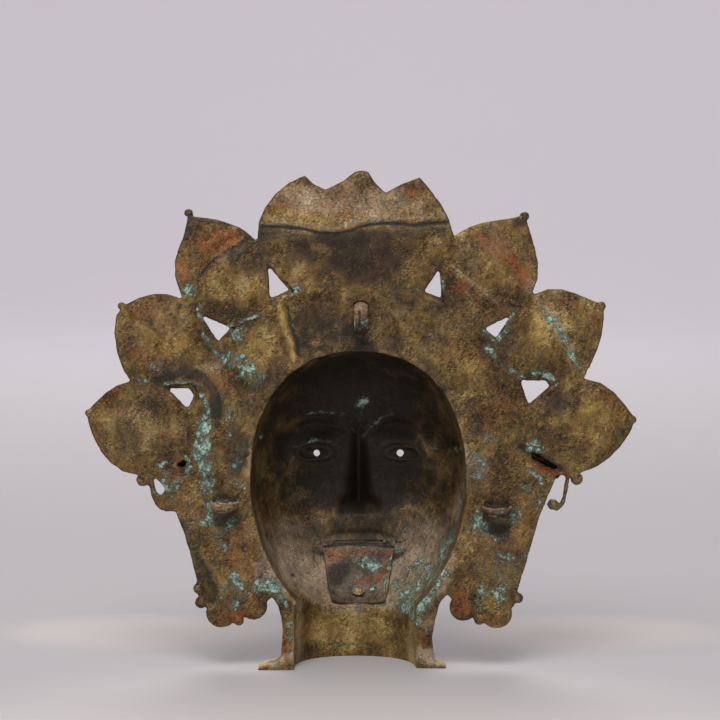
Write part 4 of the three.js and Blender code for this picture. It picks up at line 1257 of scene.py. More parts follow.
@dataclass(frozen=True)
class Patina:
    """The finish of a metal that has lain in the weather, and the colours of its films; the soot colour
    also paints shade and the haze tones also paint sheen.
    """

    name: str
    tones: Stops
    brown_tones: Stops
    copper: Stops = (
        (0.25, (0.08, 0.028, 0.011)),
        (0.50, (0.28, 0.088, 0.026)),
        (0.75, (0.48, 0.18, 0.056)),
    )
    haze_and_sheen: Stops = (
        (0.25, (0.11, 0.083, 0.054)),
        (0.50, (0.27, 0.208, 0.14)),
        (0.75, (0.5, 0.405, 0.29)),
    )
    amber: Stops = (
        (0.16, (0.03, 0.016, 0.005)),
        (0.36, (0.095, 0.052, 0.012)),
        (0.50, (0.205, 0.12, 0.027)),
        (0.64, (0.35, 0.225, 0.052)),
        (0.84, (0.62, 0.44, 0.15)),
    )
    ash: Stops = (
        (0.16, (0.017, 0.016, 0.012)),
        (0.36, (0.058, 0.056, 0.041)),
        (0.50, (0.128, 0.125, 0.09)),
        (0.64, (0.235, 0.228, 0.168)),
        (0.84, (0.45, 0.435, 0.33)),
    )
    soot_and_shade: Colour = (0.015, 0.0115, 0.007)
    rust: Colour = (0.27, 0.1, 0.03)
    glint: Colour = (0.4, 0.31, 0.15)
    stain: Colour = (0.125, 0.15, 0.104)
    crust: Stops = (
        (0.26, (0.05, 0.07, 0.05)),
        (0.42, (0.112, 0.18, 0.134)),
        (0.58, (0.222, 0.35, 0.272)),
        (0.78, (0.48, 0.65, 0.545)),
    )
    metal: float = 0.62
    rough: float = 0.5

    def brass(self, tree: NodeTree, fine: Socket, blotch: Socket) -> tuple[Socket, Socket]:
        """The metal's colour: soft clouds under a fine mottling, with upright brown streaks, lighter under
        gold and painted sheen, darker under soot and painted shade.

        Args:
            tree: The material's nodes.
            fine: Noise of a millimetre or two.
            blotch: Noise of about a centimetre.

        Returns:
            The lightness of the mottling and the metal's colour.
        """
        broad = tree.noise(30, 6, 0.62, 0.5)
        streak = tree.noise(9, 5, 0.62, 0.3, drawn=(1.0, 1.0, 3.3))
        scratch = tree.noise(0.9, 3, 0.7, drawn=(2.8, 1.0, 1.0))
        cross = tree.noise(1.0, 2, 0.6, drawn=(5.0, 1.0, 1.0), turn=52)
        gold_and_sheen, soot_and_shade, copper, wear = (tree.layer(name) for name in (
            Film.GOLD_AND_SHEEN.value, Film.SOOT_AND_SHADE.value, Film.COPPER.value, "wear"))
        marks = tree.weighted([(scratch, 1.0), (cross, 0.6)], -0.8)
        marks = tree.math("MULTIPLY", marks, tree.ease(tree.noise(16, 4, 0.6, 1.0), 0.4, 0.6, 0.2, 1.5))
        tone = tree.weighted(
            [(broad, 0.95), (blotch, 0.6), (fine, 0.48), (marks, 0.75), (streak, 0.4), (gold_and_sheen, 0.2),
             (soot_and_shade, -0.1), (copper, -0.06), (wear, 0.2)], -0.715)
        hue = tree.weighted([(tree.noise(24, 5, 0.6, 0.8), 1.0), (fine, 0.3), (gold_and_sheen, -0.12)], -0.15)
        colour = tree.mix(tree.ease(hue, 0.38, 0.6), tree.ramp(tone, self.tones),
                          tree.ramp(tone, self.brown_tones))
        amber = tree.weighted([(tree.noise(8, 7, 0.72, 1.4), 1.0), (gold_and_sheen, 0.08), (soot_and_shade, -0.1)], 0.0)
        colour = tree.mix(tree.ease(amber, 0.5, 0.6, 0.0, 0.85), colour, tree.ramp(tone, self.amber))
        ashen = tree.weighted([(tree.noise(6, 7, 0.74, 1.2), 1.0), (gold_and_sheen, -0.05)], 0.0)
        return tone, tree.mix(tree.ease(ashen, 0.53, 0.64, 0.0, 0.75), colour, tree.ramp(tone, self.ash))

    def verdigris(self, tree: NodeTree, fine: Socket, colour: Socket) -> tuple[Socket, Socket]:
        """Lays verdigris on a colour: a thin stain, blots with frayed edges and thin meandering lines.

        Args:
            tree: The material's nodes.
            fine: Fine noise for its grain.
            colour: The colour under it.

        Returns:
            The share of thick verdigris and the new colour.
        """
        green = tree.layer(Film.VERDIGRIS.value)
        lace = tree.noise(3.2, 7, 0.76, 1.5)
        cloud = tree.noise(13, 4, 0.6, 0.8)
        stained = tree.weighted([(green, 0.8), (cloud, 0.9), (lace, 0.6)], -0.75)
        colour = tree.mix(tree.ease(stained, 0.16, 0.7, 0.0, 0.7), colour, self.stain)
        grown = tree.weighted([(lace, 1.0), (cloud, 0.55), (green, 0.38)], -0.485)
        blots = tree.ease(grown, 0.5, 0.575)
        ridge = tree.math("ABSOLUTE", tree.weighted([(tree.noise(6.5, 5, 0.62, 2.2), 1.0)], -0.5), 0.0)
        line = tree.ease(tree.weighted([(ridge, 1.0), (green, -0.03), (fine, 0.03)], 0.0), 0.022, 0.006)
        room = tree.ease(tree.weighted([(green, 1.0), (cloud, 1.2), (lace, 0.8)], -1.0), 0.25, 0.6)
        share = tree.math("MAXIMUM", blots, tree.math("MULTIPLY", line, room))
        pale = tree.weighted([(grown, 1.0), (fine, 2.5)], -1.32)
        return share, tree.mix(share, colour, tree.ramp(pale, self.crust))

    def flecks(self, tree: NodeTree, copper: Socket, soot_and_shade: Socket, colour: Socket) -> tuple[Socket, Socket]:
        """Adds small rusty flecks, bright scuffs, dark pits and hairlines to a colour.

        Args:
            tree: The material's nodes.
            copper: Strength of the coppery film, where the flecks lie closer.
            soot_and_shade: Strength of the dark film, which hides them.
            colour: The colour under them.

        Returns:
            The share of pits and the new colour.
        """
        rust = tree.weighted([(tree.noise(3.0, 5, 0.7, 0.8), 1.0), (copper, 0.1), (soot_and_shade, -0.14)], 0.0)
        colour = tree.mix(tree.ease(rust, 0.565, 0.63, 0.0, 0.75), colour, self.rust)
        scuffs = tree.weighted([(tree.noise(1.5, 3, 0.65, 0.6), 1.0), (soot_and_shade, -0.1)], 0.0)
        glints = tree.ease(scuffs, 0.61, 0.68, 0.0, 0.55)
        colour = tree.mix(glints, colour, self.glint)
        vein = tree.math("ABSOLUTE", tree.weighted([(tree.noise(11, 4, 0.6, 1.8), 1.0)], -0.5), 0.0)
        spots = tree.ease(tree.noise(1.7, 3, 0.6, 0.4), 0.6, 0.66)
        pits = tree.math("MAXIMUM", spots, tree.ease(vein, 0.006, 0.002, 0.0, 0.7))
        return pits, tree.mix(tree.math("MULTIPLY", pits, 0.75), colour, self.soot_and_shade)

    def material(self) -> bpy.types.Material:
        """Builds the finish.

        Returns:
            The material.
        """
        tree = NodeTree(self.name)
        blotch = tree.noise(10, 7, 0.66, 0.8)
        fine = tree.noise(2.2, 6, 0.72, 0.4)
        copper, haze_and_sheen, soot_and_shade = (tree.layer(film.value) for film in (Film.COPPER, Film.HAZE_AND_SHEEN, Film.SOOT_AND_SHADE))
        tone, colour = self.brass(tree, fine, blotch)
        blush = tree.ease(tree.weighted([(blotch, 0.5), (fine, 0.9), (copper, 0.45)], -0.3), 0.42, 0.8)
        strength = tree.ease(copper, 0.0, 1.0, 0.18, 0.72)
        colour = tree.mix(tree.math("MULTIPLY", blush, strength), colour, tree.ramp(tone, self.copper))
        # Haze: pale film, and painted sheen where the haze layer holds it.
        dull = tree.weighted([(blotch, 0.3), (fine, 0.3), (haze_and_sheen, 0.7)], -0.05)
        colour = tree.mix(tree.ease(dull, 0.35, 0.95, 0.0, 0.85), colour, tree.ramp(tone, self.haze_and_sheen))
        # Soot: dark patina, and painted shade where the soot layer holds it.
        black = tree.weighted([(blotch, 0.5), (fine, 0.5), (soot_and_shade, 0.62)], -0.3)
        colour = tree.mix(tree.ease(black, 0.45, 0.84, 0.0, 0.92), colour, self.soot_and_shade)
        pits, colour = self.flecks(tree, copper, soot_and_shade, colour)
        crusted, colour = self.verdigris(tree, fine, colour)
        tree.put(tree.shader.inputs["Base Color"], colour)
        bright = tree.weighted([(crusted, -0.62), (haze_and_sheen, -0.2), (soot_and_shade, -0.25), (fine, 0.3)],
                               self.metal - 0.15)
        tree.put(tree.shader.inputs["Metallic"], tree.ease(bright, 0.0, 1.0))
        dull_gloss = tree.weighted([(crusted, 0.35), (haze_and_sheen, 0.15), (blotch, 0.25), (fine, 0.3)],
                                   self.rough - 0.27)
        tree.put(tree.shader.inputs["Roughness"], dull_gloss)
        lumps = tree.bump(tree.weighted([(blotch, 0.7), (fine, 0.3)], 0.0), 1.0)
        height = tree.weighted([(crusted, 0.6), (fine, 0.5), (pits, -0.5)], 0.0)
        tree.put(tree.shader.inputs["Normal"], tree.bump(height, 0.5, lumps))
        return tree.material


OLIVE_TONES = (
    (0.16, (0.02, 0.014, 0.007)),
    (0.36, (0.066, 0.045, 0.018)),
    (0.50, (0.15, 0.102, 0.036)),
    (0.64, (0.275, 0.19, 0.06)),
    (0.84, (0.52, 0.39, 0.16)),
)
BROWN_TONES = (
    (0.16, (0.018, 0.011, 0.006)),
    (0.36, (0.064, 0.039, 0.018)),
    (0.50, (0.15, 0.091, 0.036)),
    (0.64, (0.27, 0.165, 0.062)),
    (0.84, (0.48, 0.33, 0.155)),
)
COPPER_TONES = (
    (0.22, (0.036, 0.028, 0.02)),
    (0.42, (0.115, 0.088, 0.064)),
    (0.58, (0.225, 0.17, 0.12)),
    (0.82, (0.44, 0.32, 0.22)),
)
BRONZE_TONES = (
    (0.22, (0.024, 0.018, 0.012)),
    (0.42, (0.08, 0.059, 0.038)),
    (0.60, (0.19, 0.146, 0.098)),
    (0.80, (0.4, 0.335, 0.24)),
)

AGED_BRASS = Patina("aged brass", OLIVE_TONES, BROWN_TONES)
AGED_COPPER = Patina("aged copper plate", COPPER_TONES, COPPER_TONES, metal=0.5, rough=0.46)
RIVET_BRONZE = Patina("worn rivet bronze", BRONZE_TONES, COPPER_TONES, metal=0.7, rough=0.42)
LOOP_BRONZE = Patina("crusted loop bronze", BRONZE_TONES, BROWN_TONES, metal=0.35, rough=0.62)


# The casting


@dataclass(frozen=True)
class FrontOrnaments:
    """Round ornaments of the front, which stand over their coarser solids: beads, drops and rings."""

    face: FaceForm
    crown_angles: tuple[float, float] = (10.0, 169.9)
    crown_beads: int = 11
    crown_grow: float = 7.25
    crown_proud: float = 17.0
    crown_bead: float = 4.9
    boss: tuple[float, float] = (256.0, 11.1)
    boss_rings: Rings = (
        (0, -1), (1, -1), (1, -19), (0.82, -20.4), (0.7, -19.4), (0.6, -22.6), (0.32, -25.2), (0, -26))
    drop_rings: Rings = (
        (0, 0.2), (1, 0), (1, -4.2), (0.86, -5.8), (0.8, -5.2), (0.72, -8.6), (0.36, -10.8), (0, -11.2))
    drops: tuple[tuple[float, float, float], ...] = (
        (107.5, 43.5, 12), (83, 48.5, 10.8), (-104.5, 43, 12.2), (-78.8, 47.6, 10.6))
    beads: tuple[tuple[float, float, float], ...] = (
        (125.2, 62, 4), (123.5, 51, 4.6), (94.5, 37, 4.2), (-121, 54.5, 4.4), (-91.5, 38, 4.6),
        (167.5, 146.5, 5), (-165.5, 147.5, 5.2))
    tip_knobs: tuple[tuple[float, float, float], ...] = (
        (131.5, 351, 3.6), (-124.6, 348.6, 3.6), (183, 280.5, 3.2), (-183.5, 280, 3.8),
        (208.5, 198.5, 3.2), (-208, 193, 3.2), (0, 380, 3.7))
    tip_reach: float = 184.0
    tip_slope: float = 0.28
    tip_y: float = 6.4
    necklaces: Rings = ((15.0, 2.6), (24.0, 3.2))
    necklace_beads: int = 31
    pockets: tuple[tuple[float, float, float, float, float], ...] = (
        (137.5, 159.5, 8.5, 6.5, 38.0), (-141.0, 161.5, 14.5, 6.5, 30.0))
    pocket_depth: float = 5.5
    pocket_wall: float = 2.6
    pocket_clear: float = 1.2

    def ball(self, shape: bmesh.types.BMesh, x: float, y: float, z: float, radius: float) -> None:
        """Adds a round bead."""
        place = Matrix.Translation(Vector((x, y + BACK_Y, z)) * MM)
        bmesh.ops.create_icosphere(shape, subdivisions=3, radius=radius * MM, matrix=place)

    def button(self, shape: bmesh.types.BMesh, x: float, z: float, radius: float, rings: Rings) -> None:
        """Adds a turned button on an axis along y.

        Args:
            shape: The mesh that it joins.
            x: Middle of the button.
            z: Middle of the button.
            radius: Its radius.
            rings: Share of the radius and y of its profile, from axis to axis.
        """
        middle = Vector((x, BACK_Y, z)) * MM
        profile = [middle + Vector((radius * share, y, 0)) * MM for share, y in rings]
        join_form(shape, turned(profile, middle, (0, 1, 0), 40))

    def add_to(self, shape: bmesh.types.BMesh, neck: NeckForm) -> None:
        """Adds all round ornaments to the casting's mesh.

        Args:
            shape: The casting's mesh.
            neck: The neck's form.
        """
        low, high = self.crown_angles
        for i in range(self.crown_beads):
            angle = math.radians(low + (high - low) * i / (self.crown_beads - 1))
            radius = float(self.face.oval_radius(np.array([angle]), self.crown_grow)[0])
            x = self.face.middle_x + radius * math.cos(angle)
            self.ball(shape, x, -self.crown_proud, self.face.middle_z + radius * math.sin(angle),
                      self.crown_bead)
        self.button(shape, self.face.middle_x, *self.boss, self.boss_rings)
        for x, z, radius in self.drops:
            self.button(shape, x, z, radius, self.drop_rings)
        for x, z, radius in self.beads:
            self.ball(shape, x, -radius / 2, z, radius)
        for x, z, radius in self.tip_knobs:
            bend = max(0.0, math.hypot(x - self.face.middle_x, z - self.face.middle_z) - self.tip_reach)
            self.ball(shape, x, self.tip_y - self.tip_slope * bend, z, radius)
        for z, radius in self.necklaces:
            self.necklace(shape, neck, z, radius)
        for pocket in self.pockets:
            self.pocket(shape, *pocket)

    def pocket(self, shape: bmesh.types.BMesh, x: float, z: float, long: float, wide: float,
               turn: float) -> None:
        """Adds a fold of metal in front of a slit in the plate, which keeps the slit dark.

        Args:
            shape: The mesh that it joins.
            x: Middle of the fold.
            z: Middle of the fold.
            long: Half its length.
            wide: Half its width.
            turn: Its turn in degrees from level.
        """
        made = bmesh.new()
        bmesh.ops.create_grid(made, x_segments=12, y_segments=8, size=1.0)
        lean = math.radians(turn)
        for vertex in made.verts:
            along, across = vertex.co.x, vertex.co.y
            bulge = math.sqrt(max(0.0, 1 - along**4)) * math.sqrt(max(0.0, 1 - across**4))
            off, up = along * long, across * wide
            vertex.co = Vector((x + off * math.cos(lean) - up * math.sin(lean),
                                BACK_Y - self.pocket_clear - self.pocket_depth * bulge,
                                z + off * math.sin(lean) + up * math.cos(lean))) * MM
        bmesh.ops.recalc_face_normals(made, faces=made.faces)
        bmesh.ops.solidify(made, geom=[*made.verts, *made.edges, *made.faces],
                           thickness=self.pocket_wall * MM)
        join_form(shape, made)

    def necklace(self, shape: bmesh.types.BMesh, neck: NeckForm, z: float, radius: float) -> None:
        """Adds a row of beads round the front of the neck.

        Args:
            shape: The mesh that they join.
            neck: The neck's form.
            z: Height of the row.
            radius: Size of a bead.
        """
        for i in range(self.necklace_beads):
            turn = math.pi * (i + 0.5) / self.necklace_beads
            cosine, sine = math.cos(turn), math.sin(turn)
            reach = (abs(cosine) / (neck.half_width + neck.wall)) ** neck.power
            reach = (reach + (sine / (neck.depth + neck.wall)) ** neck.power) ** (-1 / neck.power)
            self.ball(shape, neck.x + reach * cosine, -reach * sine, z, radius)


@dataclass(frozen=True)
class MaskCasting:
    """The casting: halo, face, side panels, ears, drops, neck and foot in one skin."""

    view: PhotoView
    face: FaceForm = FaceForm()
    neck: NeckForm = NeckForm()
    node: str = "mask_casting"
    voxel: float = 0.9
    most_triangles: int = 194000
    plate_cell: float = 2.0
    plate_blur: float = 5.0
    grid_low: tuple[float, float] = (-225.0, 0.0)
    grid_reach: tuple[float, float] = (450.0, 400.0)
    swells: Rings = ((0.42, 26.0), (0.16, 7.0))
    hem_height: float = 0.3
    hem_middle: float = 1.6
    hem_spread: float = 1.2
    nibble_depth: float = 0.55
    nibble_reach: float = 1.1
    neck_edge: float = 5.5
    inset: float = 0.004

    def dense_skin(self) -> bpy.types.Object:
        """The solid and its round ornaments as one even mesh.

        Returns:
            The new piece.
        """
        shape = bmesh.new()
        shape.from_mesh(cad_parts[self.node].data)
        bmesh.ops.remove_doubles(shape, verts=shape.verts, dist=1e-6)
        FrontOrnaments(self.face).add_to(shape, self.neck)
        piece = new_piece("cast_mask", mesh_from(shape, "cast_mask"))
        remesh = piece.modifiers.new("even skin", "REMESH")
        remesh.mode = "VOXEL"
        remesh.voxel_size = self.voxel * MM
        apply_modifiers(piece)
        return piece

    def flat_of_plate(self, skin: Skin) -> Array:
        """Which vertices belong to the halo's plate and the panels.

        Args:
            skin: The dense skin.

        Returns:
            1 on the plate, 0 on the face and the neck, for each vertex.
        """
        x, z = skin.points[:, 0] - self.face.middle_x, skin.points[:, 2]
        outside = smooth_step(1.02, 1.08, self.face.fraction(x, z, OUTER.grow))
        return outside * smooth_step(30, 42, z)

    def grid_cells(self, skin: Skin) -> tuple[tuple[int, int], Array, Array]:
        """Sorts the vertices into the cells of a grid behind the plate.

        Args:
            skin: The dense skin.

        Returns:
            The grid's shape, each vertex's cell, and how far it lies in front of the rearmost one there.
        """
        cells = np.floor((skin.points[:, [0, 2]] - np.array(self.grid_low)) / self.plate_cell).astype(int)
        shape = (int(self.grid_reach[0] / self.plate_cell), int(self.grid_reach[1] / self.plate_cell))
        index = np.clip(cells[:, 0], 0, shape[0] - 1) * shape[1] + np.clip(cells[:, 1], 0, shape[1] - 1)
        highest = np.full(shape[0] * shape[1], -np.inf)
        np.maximum.at(highest, index, skin.points[:, 1])
        return shape, index, highest[index] - skin.points[:, 1]

    def soften_folds(self, skin: Skin) -> None:
        """Rounds the straight folds of the dished plate, back and front alike.

        Args:
            skin: The dense skin.
        """
        flat = self.flat_of_plate(skin)
        shape, index, below = self.grid_cells(skin)
        back = (below < 1.0) & (skin.normals[:, 1] > 0.6) & (flat > 0.9)
        count = np.bincount(index[back], minlength=shape[0] * shape[1]).reshape(shape)
        total = np.bincount(index[back], skin.points[back, 1], shape[0] * shape[1]).reshape(shape)
        filled = self.blurred(total, count, 1.0)
        soft = self.blurred(total, count, self.plate_blur / self.plate_cell)
        shift = (soft - filled).ravel()[index]
        skin.points[:, 1] += shift * flat

    def blurred(self, total: Array, count: Array, sigma: float) -> Array:
        """Averages of the filled cells of a grid, spread over a distance.

        Args:
            total: Sum of each cell's values.
            count: How many values it has.
            sigma: The distance, in cells.

        Returns:
            The averages.
        """
        waves = [np.fft.fftfreq(size) for size in total.shape]
        spread = np.exp(-2 * (math.pi * sigma) ** 2 * (waves[0][:, None] ** 2 + waves[1] ** 2))

        def spread_out(grid: Array) -> Array:
            """A grid with each cell spread over its neighbours."""
            return np.fft.ifft2(np.fft.fft2(grid) * spread).real

        return spread_out(total) / np.maximum(spread_out(count.astype(float)), 1e-3)

    def close_lips(self, skin: Skin) -> None:
        """Narrows the slit of the mouth down to the plate that passes it.

        Args:
            skin: The dense skin.
        """
        across = np.abs(skin.points[:, 0] - self.face.middle_x)
        rise = skin.points[:, 2] - self.face.mouth_z
        wide = (1 - smooth_step(33, 40, across)) * (skin.points[:, 1] < -40)
        upper = smooth_step(-0.5, 1.5, rise) * np.exp(-(((rise - 2.5) / 6) ** 2))
        lower = smooth_step(0.5, -1.5, rise) * np.exp(-(((rise + 2.5) / 6) ** 2))
        ends = smooth_step(19.3, 21.3, across)
        skin.points[:, 2] -= (2.6 + 0.25 * ends) * upper * wide
        skin.points[:, 2] += (0.2 + 1.75 * ends) * lower * wide

    def shape_face(self, skin: Skin) -> None:
        """Carries both sides of the face's wall on to its smooth form.

        Args:
            skin: The dense skin.
        """
        x, z = skin.points[:, 0] - self.face.middle_x, skin.points[:, 2]
        outward = np.stack([x, z - self.face.middle_z], 1)
        outward /= np.maximum(np.linalg.norm(outward, axis=1), 1e-6)[:, None]
        lean = (skin.normals[:, [0, 2]] * outward).sum(1) - skin.normals[:, 1]
        opening = self.face.near_opening(x, z)
        shifts = {side: self.face.skin(x, z, side) - skin.points[:, 1] for side in (OUTER, INNER)}
        moved = skin.points.copy()
        for side, other, sign in ((OUTER, INNER, -1), (INNER, OUTER, 1)):
            part = self.face.fraction(x, z, side.grow)
            facing = sign * skin.normals[:, 1]
            edge = (np.abs(skin.normals[:, 1]) > 0.75) & (part > 0.985)
            near = np.flatnonzero((part < 1.04) & (skin.points[:, 1] < 0.8) & ~edge)
            pulled = pull_to_form(
                skin.points[near], lambda places: self.face.wall_gap(places, side), 0.9, 1.5)
            steep = (lean[near] * -sign > 0.15) * smooth_step(0.8, 0.9, part[near])
            moved[near] += steep[:, None] * (pulled - skin.points[near])
            shift = shifts[side]
            unsure = (np.abs(facing) <= 0.12) & (np.abs(shift) < np.abs(shifts[other]))
            free = ((facing > 0.12) | unsure) * (1 - opening) * (np.abs(shift) < 12)
            careful = smooth_step(0.25, 0.55, facing) * (1 - smooth_step(2.5, 4.0, np.abs(shift))) * opening
            moved[:, 1] += (free + careful) * (1 - smooth_step(0.8, 0.9, part)) * shift
        skin.points = moved

    def shape_neck(self, skin: Skin) -> None:
        """Carries both sides of the neck's wall on to its smooth form, and rounds its edges.

        Args:
            skin: The dense skin.
        """
        for grow, top in ((0.0, self.neck.hollow_top), (self.neck.wall, self.neck.shoulder)):
            near = np.flatnonzero((skin.points[:, 2] < top) & (skin.points[:, 1] < -1.0)
                                  & (np.abs(skin.normals[:, 2]) < 0.5))
            skin.points[near] = pull_to_form(
                skin.points[near], lambda places: self.neck.wall_gap(places, grow), 0.7, 1.2)
        across = np.abs(skin.points[:, 0] - self.neck.x) - self.neck.half_width
        edge = np.exp(-((across / self.neck_edge) ** 4)) * smooth_step(-13, -6, skin.points[:, 1])
        edge *= smooth_step(0.5, 4, skin.points[:, 2]) * smooth_step(58, 46, skin.points[:, 2])
        skin.points += edge[:, None] * (skin.relaxed(skin.points, 36) - skin.points)

    def rim_distance(self, skin: Skin) -> Array:
        """Distance of each vertex from the nearest edge of the plate, as seen from behind.

        Args:
            skin: The dense skin.

        Returns:
            The distances.
        """
        plate = self.flat_of_plate(skin) > 0.5
        below = self.grid_cells(skin)[2]
        rims = np.flatnonzero(plate & (np.abs(skin.normals[:, 1]) < 0.45) & (below < 2.2))
        tree = KDTree(len(rims))
        for i, vertex in enumerate(rims):
            tree.insert((skin.points[vertex, 0], 0.0, skin.points[vertex, 2]), i)
        tree.balance()
        away = np.full(len(plate), 99.0)
        for vertex in np.flatnonzero(plate):
            away[vertex] = tree.find((skin.points[vertex, 0], 0.0, skin.points[vertex, 2]))[2]
        return away

    def roughen(self, skin: Skin, painter: Painter) -> None:
        """Gives the skin the unevenness of a wax casting, its hems, creases and crusts.

        Args:
            skin: The dense skin.
            painter: What puts the low relief on it.
        """
        painted = painter.relief(skin)
        (high, wide), (low, narrow) = self.swells
        swell = high * fractal_noise(skin.points, wide, 2, 3)
        swell = swell + low * fractal_noise(skin.points, narrow, 3, 8)
        rim = self.rim_distance(skin)
        hem = np.exp(-(((rim - self.hem_middle) / self.hem_spread) ** 2)) * painter.behind(skin)
        hem *= self.hem_height * smooth_step(-0.3, 0.7, lattice_noise(skin.points, 17, 21))
        nibbled = smooth_step(0.1, 0.7, fractal_noise(skin.points, 4.0, 2, 33))
        nibbled *= self.nibble_depth * np.exp(-((rim / self.nibble_reach) ** 2))
        resting = smooth_step(0.5, 3.0, skin.points[:, 2])
        height = (painted + swell + hem - nibbled) * resting
        skin.points += skin.normals * height[:, None]

    def keep_in_box(self, skin: Skin) -> None:
        """Keeps the skin inside the box of the solid.

        Args:
            skin: The dense skin.
        """
        low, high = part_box(self.node)
        shift = np.array([0.0, BACK_Y, 0.0])
        low, high = np.array(low) / MM - shift + self.inset, np.array(high) / MM - shift - self.inset
        skin.points = np.clip(skin.points, low, high)

    def thin_out(self, piece: bpy.types.Object) -> None:
        """Thins the mesh to its limit of triangles.

        Args:
            piece: The casting.
        """
        triangles = sum(len(face.vertices) - 2 for face in piece.data.polygons)
        thinner = piece.modifiers.new("thinner", "DECIMATE")
        thinner.ratio = min(1.0, self.most_triangles / triangles)
        apply_modifiers(piece)

    def paint(self, skin: Skin, painter: Painter) -> None:
        """Keeps the films, the wear and the hollows of the skin as attributes, with painted shade along the
        plate's edges.

        Args:
            skin: The dense skin.
            painter: What puts the films on it.
        """
        films = painter.films(skin, FILMS)
        hollow = ((skin.relaxed(skin.points, 10) - skin.points) * skin.normals).sum(1)
        wear = np.clip(-hollow / 0.5, -1.0, 1.0)
        rim = self.rim_distance(skin)
        front = 1 - painter.behind(skin)
        shaded_rim = 1 - smooth_step(0.5, 1.8, rim)
        hidden, rubbed = np.clip(-wear, 0, 1), np.clip(wear, 0, 1)
        # Painted shade: a dark line along the plate's edges.
        films[Film.SOOT_AND_SHADE] = np.maximum(films[Film.SOOT_AND_SHADE], 0.8 * shaded_rim * painter.behind(skin))
        films[Film.GOLD_AND_SHEEN] = np.maximum(films[Film.GOLD_AND_SHEEN], front * (0.45 + 0.4 * rubbed))
        films[Film.SOOT_AND_SHADE] = np.maximum(films[Film.SOOT_AND_SHADE], front * hidden * 0.9)
        films[Film.VERDIGRIS] = np.maximum(films[Film.VERDIGRIS], front * hidden * 0.45)
        keep_films(skin, films, wear * (0.3 + 0.7 * front))

    def build(self) -> bpy.types.Object:
        """Builds, paints and dresses the casting.

        Returns:
            The finished piece.
        """
        painter = Painter(self.view)
        piece = self.dense_skin()
        skin = Skin(piece.data)
        log.info("dense skin: %d vertices", len(skin.points))
        self.soften_folds(skin)
        self.close_lips(skin)
        self.shape_face(skin)
        self.shape_neck(skin)
        skin.points += 0.5 * (skin.relaxed(skin.points, 1) - skin.points)
        skin.write()
        self.roughen(skin, painter)
        self.keep_in_box(skin)
        skin.write()
        self.thin_out(piece)
        shade_smooth(piece.data)
        self.paint(Skin(piece.data), painter)
        dress(piece, self.node, AGED_BRASS.material())
        return piece


# The cord loops


